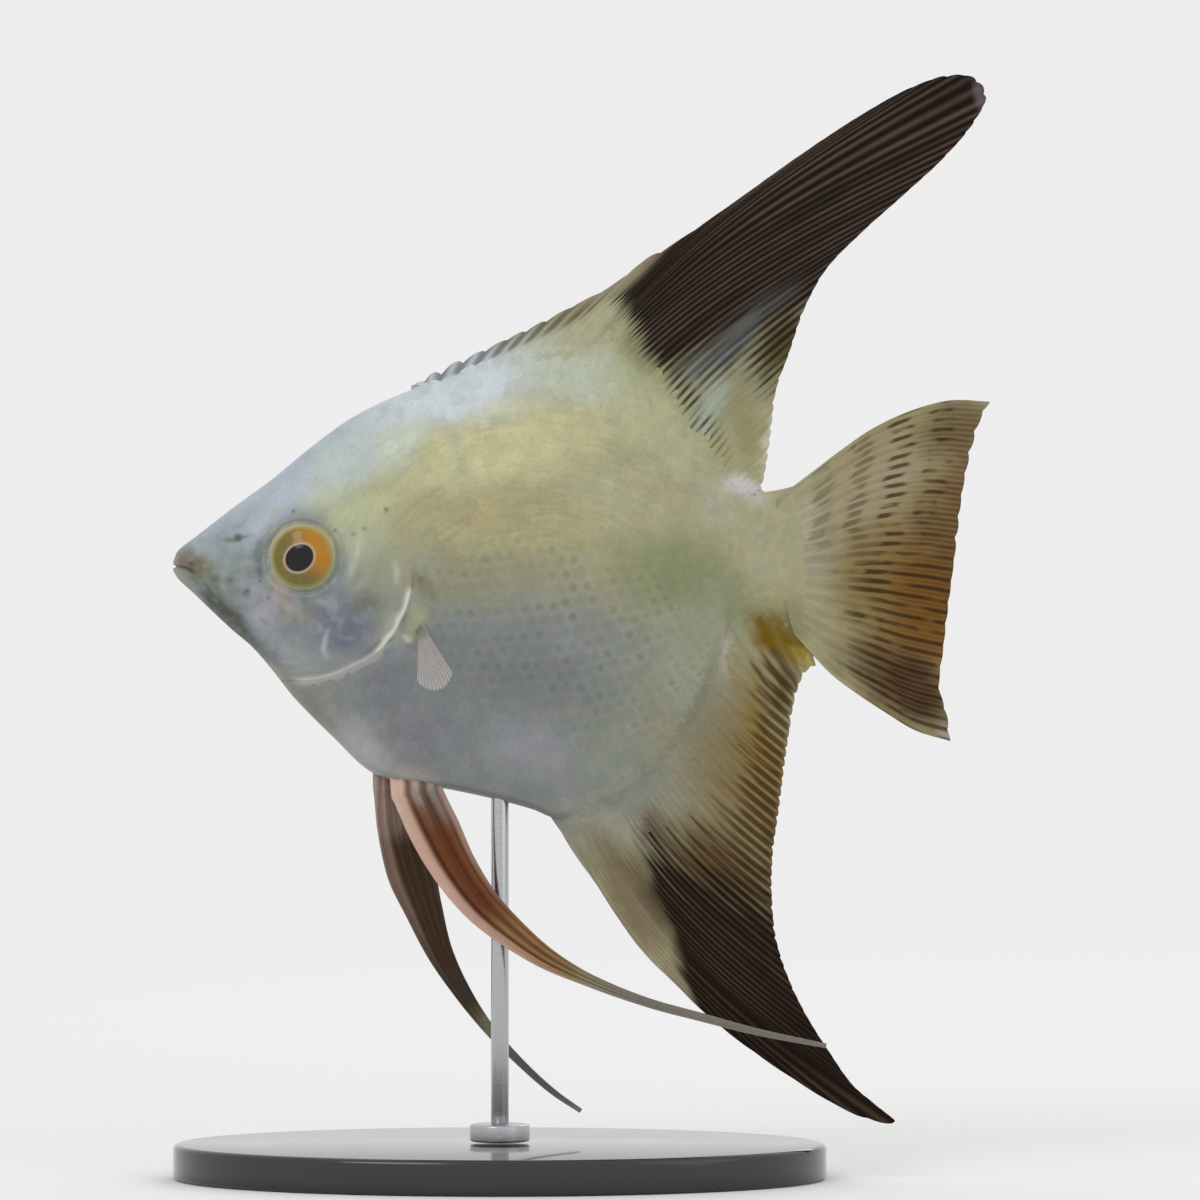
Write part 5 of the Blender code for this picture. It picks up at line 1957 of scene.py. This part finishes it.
@dataclass
class Studio:
    """A pale floor that fades into the backdrop's colour, soft lights, and a level camera."""

    target: tuple[float, float] = (60.1, -5.6)  # the middle of the view, in the drawing
    field: float = 169.0  # how much of the fish's plane the view takes in
    distance: float = 1000.0
    sensor: float = 36.0
    backdrop: float = 0.85
    floor_radius: float = 6.0  # in metres
    aim: tuple[float, float, float] = (0.0, 0.0, 0.08)  # where the lights point, in metres
    lights: tuple[tuple[str, tuple[float, float, float], float, float], ...] = (
        ("key_light", (-0.45, -0.7, 0.75), 0.5, 1.7),
        ("fill_light", (0.7, -0.5, 0.35), 0.6, 0.4),
        ("back_light", (0.3, 0.8, 0.6), 0.5, 1.2),
    )  # each one's place and size in metres, and its power in watts

    def floor(self) -> None:
        """The floor, matt near the stand and as bright as the backdrop further out."""
        deselect()
        bpy.ops.mesh.primitive_circle_add(vertices=128, radius=self.floor_radius, fill_type="NGON")
        obj = named("studio_floor")
        graph = Graph("studio_floor")
        far = graph.vector("LENGTH", graph.coordinates)
        fade = graph.step(far, 0.16, 0.75)
        colour = graph.grey(graph.noise(2.0, 2.0) * 0.02 + 0.84)
        graph.finish(Base_Color=colour, Roughness=0.9, Specular_IOR_Level=0.1)
        white = {"Color": (1.0, 1.0, 1.0, 1.0), "Strength": self.backdrop}
        glow = graph.node("Emission", None, white)
        surfaces = {0: fade, 1: graph.shader.outputs[0], 2: glow.outputs[0]}
        blend = graph.node("MixShader", None, surfaces)
        graph.feed(graph.tree.nodes["Material Output"].inputs[0], blend.outputs[0])
        obj.data.materials.append(graph.material)

    def light(
        self, name: str, place: tuple[float, float, float], size: float, power: float
    ) -> None:
        """An area light aimed at the fish."""
        data = bpy.data.lights.new(name, "AREA")
        data.shape, data.size, data.energy = "DISK", size, power
        obj = bpy.data.objects.new(name, data)
        bpy.context.scene.collection.objects.link(obj)
        obj.location = place
        ray = Vector(self.aim) - obj.location
        obj.rotation_mode = "QUATERNION"
        obj.rotation_quaternion = ray.to_track_quat("-Z", "Y")

    def build(self) -> None:
        """Floor, backdrop, lights and camera."""
        self.floor()
        scene = bpy.context.scene
        scene.view_settings.view_transform = "Standard"
        world = bpy.data.worlds.new("studio")
        world.use_nodes = True
        glow = world.node_tree.nodes["Background"]
        glow.inputs["Color"].default_value = (1.0, 1.0, 1.0, 1.0)
        glow.inputs["Strength"].default_value = self.backdrop
        scene.world = world
        for light in self.lights:
            self.light(*light)
        data = bpy.data.cameras.new("camera")
        data.sensor_width, data.lens = self.sensor, self.sensor * self.distance / self.field
        camera = bpy.data.objects.new("camera", data)
        scene.collection.objects.link(camera)
        camera.location = LAYOUT.place(self.target[0], -self.distance, self.target[1])
        camera.rotation_euler = (math.radians(90.0), 0.0, 0.0)
        scene.camera = camera


# ---- this fish


def arc(x: float, z: float, radius: float, start: float, end: float) -> Points:
    """Points on a circle of the side view, from one angle in degrees to another."""
    count = max(4, int(abs(end - start) / 15))
    angles = np.radians(np.linspace(start, end, count))
    return tuple((x + radius * math.cos(a), z + radius * math.sin(a)) for a in angles)


FOLDS = (
    Fold(
        ((26.6, 4.5), (25.6, 0.5), (24.0, -4.5), (22.3, -9.5), (20.6, -12.8), (17.5, -14.3),
         (13.5, -13.6), (10.5, -11.0)),
        -0.24, 0.25, fade=4.0,
    ),
    Fold(((21.5, -14.5), (15.5, -15.2), (11.5, -12.6)), -0.12, 0.3),
    Fold(((31.6, -2.6), (29.8, -7.6), (26.3, -11.3), (22.4, -13.4)), -0.1, 0.3),
    Fold(((3.4, -1.9), (5.6, -4.6), (9.4, -8.9), (11.6, -12.0)), -0.22, 0.35),
    Fold(((0.3, 0.35), (1.6, 0.2), (3.2, -1.1)), 0.3, 0.55, ends=(0.05, 0.3)),
    Fold(((0.3, -1.8), (1.5, -2.3), (3.0, -2.0)), 0.3, 0.5, ends=(0.05, 0.3)),
    Fold(((-0.2, -0.75), (1.2, -0.9), (2.4, -1.3), (3.5, -2.1)), -0.34, 0.2, ends=(0.0, 0.25)),
    Fold(((0.9, 1.8), (2.0, 1.1), (3.2, 0.0), (3.9, -1.3)), -0.18, 0.25),
    Fold(((0.9, -3.0), (2.2, -3.1), (3.4, -2.7)), -0.15, 0.25),
    Fold(((4.2, -0.6), (5.0, -2.6), (5.8, -4.0)), 0.12, 0.6),
    Fold(arc(*EYE, 5.4, 0.0, 360.0), 0.09, 0.45, ends=(0.0, 0.0)),
    Fold(arc(*EYE, 6.3, 150.0, 215.0), -0.15, 0.35),
    Fold(arc(*EYE, 6.5, 215.0, 320.0), -0.1, 0.5),
    Fold(((22.4, -17.2), (19.0, -17.8), (16.6, -17.8)), 0.12, 0.3),
    Fold(((34.3, -7.2), (34.9, -10.2)), 0.5, 1.5, ends=(0.0, 0.0)),
)

PITS = (
    Pit(9.3, 3.1, 0.45, 0.5, rim=0.1),
    Pit(17.1, 6.8, 0.22, 0.16),
    Pit(23.0, 4.1, 0.22, 0.16),
    Pit(25.6, 3.6, 0.2, 0.15),
    Pit(27.2, 4.4, 0.22, 0.16),
    Pit(30.2, 7.0, 0.3, 0.2, rim=0.04),
    Pit(8.2, -2.8, 0.22, 0.16),
    Pit(10.6, -4.4, 0.26, 0.18),
    Pit(12.5, -3.0, 0.2, 0.14),
    Pit(13.6, -5.3, 0.22, 0.15),
)

PALE_LINES = (
    Line(
        ((33.8, -3.4), (33.2, -5.4), (32.8, -6.9), (32.0, -8.1), (31.4, -9.7), (30.2, -11.0),
         (29.4, -12.4), (28.0, -13.4)),
        0.45, 1.0, ends=0.12,
    ),
    Line(
        ((31.3, -10.5), (28.7, -13.3), (25.7, -14.95), (22.4, -16.35), (18.9, -16.95),
         (15.9, -16.8)),
        0.5, 0.75, ends=0.15,
    ),
    Line(((26.8, 4.4), (26.2, 1.6), (25.4, -1.2), (24.4, -4.6)), 0.5, 0.35, ends=0.4),
    Line(((22.4, -8.8), (21.7, -10.8), (21.4, -12.6), (22.3, -14.4)), 0.34, 0.5, ends=0.4),
    Line(((24.2, -7.0), (23.7, -9.4), (23.4, -11.8)), 0.3, 0.12, ends=0.45),
    Line(((31.0, 0.6), (31.7, -1.6), (31.3, -4.2)), 0.45, 0.35, ends=0.45),
    Line(arc(*EYE, 5.0, 40.0, 330.0), 0.3, 0.3, ends=0.2),
)

# Dark lines and spots of the head. Those that lie in its creases, grooves and pits are painted
# shade there.
DARK_LINES_AND_PAINTED_SHADE = (
    Line(((33.3, -4.6), (32.4, -7.2), (30.5, -10.2), (28.0, -12.6), (25.5, -14.3)), 0.3, 0.5),
    # Painted shade along the groove through the nostril.
    Line(((7.0, 2.7), (9.3, 3.1), (11.0, 3.5)), 0.3, 0.4),
    # Painted shade in the crease of the mouth, along its groove.
    Line(((-0.2, -0.75), (1.2, -0.9), (2.4, -1.3), (3.5, -2.1)), 0.2, 0.75, ends=0.1),
    # Painted shade along the groove down the jaw.
    Line(((3.4, -1.9), (5.6, -4.6), (9.4, -8.9), (11.6, -12.0)), 0.3, 0.35),
    # Painted shade in the fold round the eye, and in the groove in front of it.
    Line(arc(*EYE, 5.9, 0.0, 360.0), 0.35, 0.15, ends=0.0),
    Line(arc(*EYE, 6.4, 150.0, 215.0), 0.4, 0.35),
    Line(((34.4, -1.1), (35.6, -3.6), (36.8, -6.7)), 0.4, 0.4),
    Line(((34.9, -0.4), (36.4, -2.9)), 0.3, 0.3),
    # Painted shade in the nostril and the pores, with more in two of the pores.
    *(Spot(pit.x, pit.z, 1.2 * pit.radius, 0.8) for pit in PITS),
    Spot(8.2, -2.8, 0.6, 0.5),
    Spot(10.6, -4.4, 0.7, 0.5),
)

DORSAL_MARGIN = (
    (33.5, 24.6), (37.5, 26.9), (44.0, 29.8), (50.5, 32.9), (56.0, 35.7), (62.0, 38.9),
    (66.8, 42.6), (71.0, 45.0), (79.0, 50.5), (89.0, 57.6), (98.0, 63.5), (104.5, 67.0),
    (109.7, 68.6), (113.2, 68.1), (114.7, 65.8), (113.4, 62.6), (109.0, 57.2), (103.0, 51.6),
    (97.2, 46.4), (92.0, 41.0), (88.9, 35.4), (86.9, 29.6), (84.9, 23.9), (84.2, 18.3),
    (83.5, 13.2), (82.8, 9.9),
)
DORSAL_PLAN = (
    (0.0, 0.0), (0.157, 0.079), (0.295, 0.155), (0.4, 0.272), (0.438, 0.395), (0.4525, 0.477),
    (0.464, 0.54), (0.481, 0.589), (0.51, 0.636), (0.553, 0.688), (0.612, 0.745), (0.681, 0.794),
    (0.751, 0.8395), (0.821, 0.882), (0.889, 0.923), (0.951, 0.963), (1.0, 1.0),
)
ANAL_MARGIN = (
    (52.9, -35.8), (55.6, -40.0), (58.6, -44.4), (62.6, -49.6), (66.0, -55.0), (70.2, -59.2),
    (75.0, -63.9), (80.6, -68.4), (87.0, -72.8), (93.6, -76.8), (98.6, -78.9), (101.8, -79.1),
    (99.6, -77.2), (96.0, -74.2), (92.2, -68.9), (88.8, -63.4), (86.4, -58.2), (84.9, -53.2),
    (84.3, -46.6), (84.5, -40.8), (85.3, -35.2), (86.0, -29.6), (86.8, -23.9), (87.8, -18.6),
    (89.2, -15.6), (90.5, -14.8),
)
ANAL_PLAN = (
    (0.0, 0.0), (0.03, 0.17), (0.058, 0.34), (0.082, 0.4815), (0.1, 0.535), (0.12, 0.585),
    (0.145, 0.633), (0.178, 0.675), (0.22, 0.712), (0.27, 0.748), (0.33, 0.783), (0.395, 0.818),
    (0.465, 0.853), (0.54, 0.888), (0.625, 0.923), (0.76, 0.962), (1.0, 1.0),
)
LEFT_PELVIC = (
    (34.2, -32.4, 6.6, 1.7), (36.6, -37.4, 7.0, 2.7), (39.8, -43.4, 6.2, 3.7),
    (43.6, -48.5, 5.2, 4.5), (47.9, -52.4, 4.1, 5.0), (52.6, -55.8, 2.9, 5.4),
    (58.7, -58.9, 1.7, 5.6), (66.9, -62.0, 1.2, 5.6), (74.2, -64.0, 1.1, 5.4),
    (81.7, -66.0, 0.9, 5.1), (91.8, -68.1, 0.6, 4.6),
)
RIGHT_PELVIC = (
    (31.1, -31.4, 5.4, 1.7), (31.9, -37.6, 6.3, 2.9), (33.3, -43.6, 6.7, 3.9),
    (35.2, -49.5, 5.2, 4.7), (37.4, -55.4, 3.6, 5.3), (40.4, -60.8, 2.4, 5.7),
    (44.4, -66.4, 1.5, 6.0), (49.3, -71.6, 1.0, 6.2), (53.6, -75.4, 0.8, 6.2),
    (57.4, -78.0, 0.6, 6.0),
)

DORSAL_SPRAYS = (
    Spray(61, 33.5, 15, 4.5, 32, "A9AA8C", soft=0.8),
    Spray(66.5, 30, 6, 4, -50, "7E8260", 0.9),
    Spray(74, 22.5, 9, 5, -50, "949778"),
    Spray(79, 25, 9, 6, 50, "8C8B70", soft=0.8),
    Spray(77.5, 29.5, 10, 2.8, 36, "6B767A", 0.9, 0.8),
    Spray(86, 30, 8, 5, 62, "4C4222", soft=0.8),
    Spray(75.4, 21.5, 2.8, 7.5, -20, "A2AE9E", 0.75),
    Spray(81, 19.5, 2.8, 8, 10, "918A66", 0.9, 0.8),
    Spray(83.6, 16.3, 1.25, 7.5, -6, "C3BEB0", 0.85),
    Spray(80, 10.6, 3.8, 2.4, -15, "C4C2C2", 0.95),
    Spray(61, 39, 9, 1.6, 34, "8D7B68", 0.8, 0.8),
)
ANAL_SPRAYS = (
    Spray(80.2, -32.5, 21, 9.6, -70, "7C6F4C"),
    Spray(82.8, -26, 18, 6, -80, "7C6834"),
    Spray(76, -43, 13, 8, -35, "57452C", soft=0.8),
    Spray(64.5, -47, 15, 4.6, -57, "80745C", soft=0.7),
    Spray(66, -45.5, 6, 2.2, -60, "665A40", 0.8),
    Spray(67.5, -37.5, 4.5, 3.5, -60, "695C4E", 0.8),
    Spray(85.6, -11.4, 8, 4.4, -33, "6C560C", soft=0.7),
    Spray(88.4, -13.4, 3.2, 2.4, -30, "958038", 0.9),
    Spray(85.6, -18, 2.8, 5, -5, "4A3212", 0.8),
    Spray(84.8, -44, 15, 2.6, -88, "4C3620", 0.85, 0.8),
    Spray(77.4, -12, 1.4, 5, 8, "B9AE9F", 0.6),
    Spray(89.8, -14.6, 1.8, 1.2, 20, "A39450", 0.8),
)
TAIL_SPRAYS = (
    Spray(90, 1, 10, 16, 0, "A29D83", soft=0.8),
    Spray(103, 0, 14, 30, 0, "85764F", soft=0.6),
    Spray(98, 11, 14, 8, 35, "9D9275", soft=0.8),
    Spray(88.5, 5.5, 5, 3.4, 30, "B2AE97", 0.7),
    Spray(95, -14, 6, 3, -35, "7E7459", 0.6),
    Spray(96.5, -4, 6, 7, 0, "7C7040", 0.7),
    Spray(106, -6, 10, 16, 0, "6E481A", 0.95, 0.8),
    Spray(111, 8, 4.4, 18, -8, "5E3D18", 0.9),
    Spray(107.5, 5, 5, 7, 0, "5A431E", 0.85),
    Spray(103.5, -18, 13, 6.5, -36, "33221A", 0.95, 0.8),
    Spray(109.6, -24.2, 2.6, 2.2, -30, "A0988B", 0.95, 0.8),
    Spray(110.5, 18.5, 9, 7, 20, "5A4629", 0.85),
)
PELVIC_SPRAYS = (
    Spray(41, -46, 18, 10, -52, "6E3E24", soft=0.5),
    Spray(32.4, -32, 4.8, 4.6, 0, "C4A494"),
    Spray(51, -55, 11, 5, -35, "957049", soft=0.8),
    Spray(78, -64, 26, 7, -15, "88827B", soft=0.5),
)
FAR_PELVIC_SPRAYS = (
    Spray(34, -50, 24, 11, -70, "45372B", soft=0.4),
    Spray(30.5, -34.5, 6, 6.5, 0, "968479"),
    Spray(40.5, -61, 5, 5, -50, "463D35", soft=0.8),
    Spray(50, -72.5, 11, 8, -45, "7A7974", soft=0.5),
)
PECTORAL_SPRAYS = (
    Spray(37, -14, 9, 9, 0, "B5B0AE", soft=0.3),
    Spray(34.8, -9.6, 2.8, 2.6, 0, "A5A586", soft=0.8),
)


# By share of the rays, how far in millimetres the scales run up the fin.
SHEATHS = {
    "dorsal_fin": (
        (0.12, 1.4), (0.2, 2.2), (0.29, 5.0), (0.42, 6.6), (0.55, 5.4), (0.7, 3.8), (0.85, 2.8),
        (0.975, 2.2),
    ),
    "anal_fin": ((0.11, 3.5), (0.34, 8.0), (0.56, 8.5), (0.82, 6.0), (0.94, 4.0), (0.985, 2.4)),
}


def foot(points: Points, start: float, end: float, inwards: float) -> Path:
    """The line that a fin's rays start from, inside the body's edge by a distance square to it."""
    xs = np.linspace(start, end, 120)
    zs = Curve.through(points)(xs)
    slope = np.gradient(zs, xs)
    size = np.sqrt(1 + slope**2)
    return Path(np.column_stack([xs - slope / size * inwards, zs + inwards / size])[::4])


def fins(form: BodyForm) -> list[Fin]:
    """All of the fins, by the edges of the body that they grow from."""
    belly = Curve.through(form.belly)
    dorsal_paint = DorsalPaint(
        name="dorsal_fin", extra=DORSAL_SPRAYS, ray_strength=0.12, lean=38.0, ragged=1.2,
        gap_strength=0.85, gap_paint="211A10",
        gap_zones=(
            Spray(72.5, 22.5, 14.0, 3.6, -57.0),
            Spray(85.4, 30.0, 8.5, 5.4, 60.0, soft=0.5),
            Spray(76.5, 26.5, 6.0, 2.6, 42.0, strength=0.8),
        ),
    )
    anal_paint = AnalPaint(
        name="anal_fin", extra=ANAL_SPRAYS, ray_strength=0.08, lean=-42.0, ragged=4.0,
        gap_strength=0.0,
    )
    tail_paint = TailPaint(
        name="tail_fin", extra=TAIL_SPRAYS, ray_strength=0.06, ragged=1.5, gap_strength=0.15
    )
    found = [
        MedianFin(
            "dorsal_fin", "dark_fin_skin", 60, 84, dorsal_paint, ray_width=0.2, spines=0.22,
            foot=foot(form.back, 33.2, 82.2, -1.5), margin=Path(DORSAL_MARGIN), plan=DORSAL_PLAN,
            form=form,
        ),
        MedianFin(
            "anal_fin", "dark_fin_skin", 56, 84, anal_paint, ray_width=0.2, bow=-5.2, sway=-1.0,
            foot=foot(form.belly, 53.2, 89.4, 1.5), margin=Path(ANAL_MARGIN), plan=ANAL_PLAN,
            form=form,
        ),
        TailFin("tail_fin", "tail_fin_skin", 17, 90, tail_paint, per_ray=20, notch=0.22, ray=0.36),
    ]
    for side, stations, sprays, stripes in (
        (Side.LEFT, LEFT_PELVIC, PELVIC_SPRAYS, 0.75),
        (Side.RIGHT, RIGHT_PELVIC, FAR_PELVIC_SPRAYS, 0.3),
    ):
        pelvic, pectoral = "pelvic_fin_" + side.word, "pectoral_fin_" + side.word
        pelvic_paint = PelvicPaint(
            name=pelvic, extra=sprays, ray_strength=0.1, lean=-55.0, gap_strength=0.1,
            stripes=stripes,
        )
        pectoral_paint = FinPaint(
            name=pectoral, extra=PECTORAL_SPRAYS, ray_paint="CFC9C4", gap_strength=0.0,
            cloudy=0.42, most=0.62,
        )
        found.append(PelvicFin(
            pelvic, "pelvic_fin_skin", 6, 150, pelvic_paint, per_ray=8, side=side,
            stations=stations, belly=belly,
        ))
        found.append(PectoralFin(
            pectoral, "pectoral_fin_skin", 13, 40, pectoral_paint, membrane=0.12, ray=0.24,
            root=1.9, fleshy=1.5, ray_width=0.24, side=side,
        ))
    return found


def main() -> None:
    """Builds the fish, its stand and the studio."""
    logging.basicConfig(level=logging.INFO, format="%(message)s")
    form = BodyForm(folds=FOLDS, pits=PITS)
    Skin(form, SkinPaint(), pale=PALE_LINES, dark=DARK_LINES_AND_PAINTED_SHADE).build()
    eye, coat = Eye(form.eye), ScaleCoat(form, ScalePaint())
    for side in Side:
        eye.build(side)
        coat.build(side)
    for fin in fins(form):
        fin.build()
        if fin.name in SHEATHS:
            name = fin.name + "_scales"
            finish = ScalePaint(name=name, extra=fin.finish.extra, gloss=0.0, shine=0.1)
            sheath = SheathCoat(form, finish, fin=fin, depths=SHEATHS[fin.name])
            for side in Side:
                sheath.build(side, name)
    stand = Stand()
    stand.base()
    stand.collar()
    stand.rod()
    Studio().build()
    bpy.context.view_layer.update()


if __name__ == "__main__":
    main()
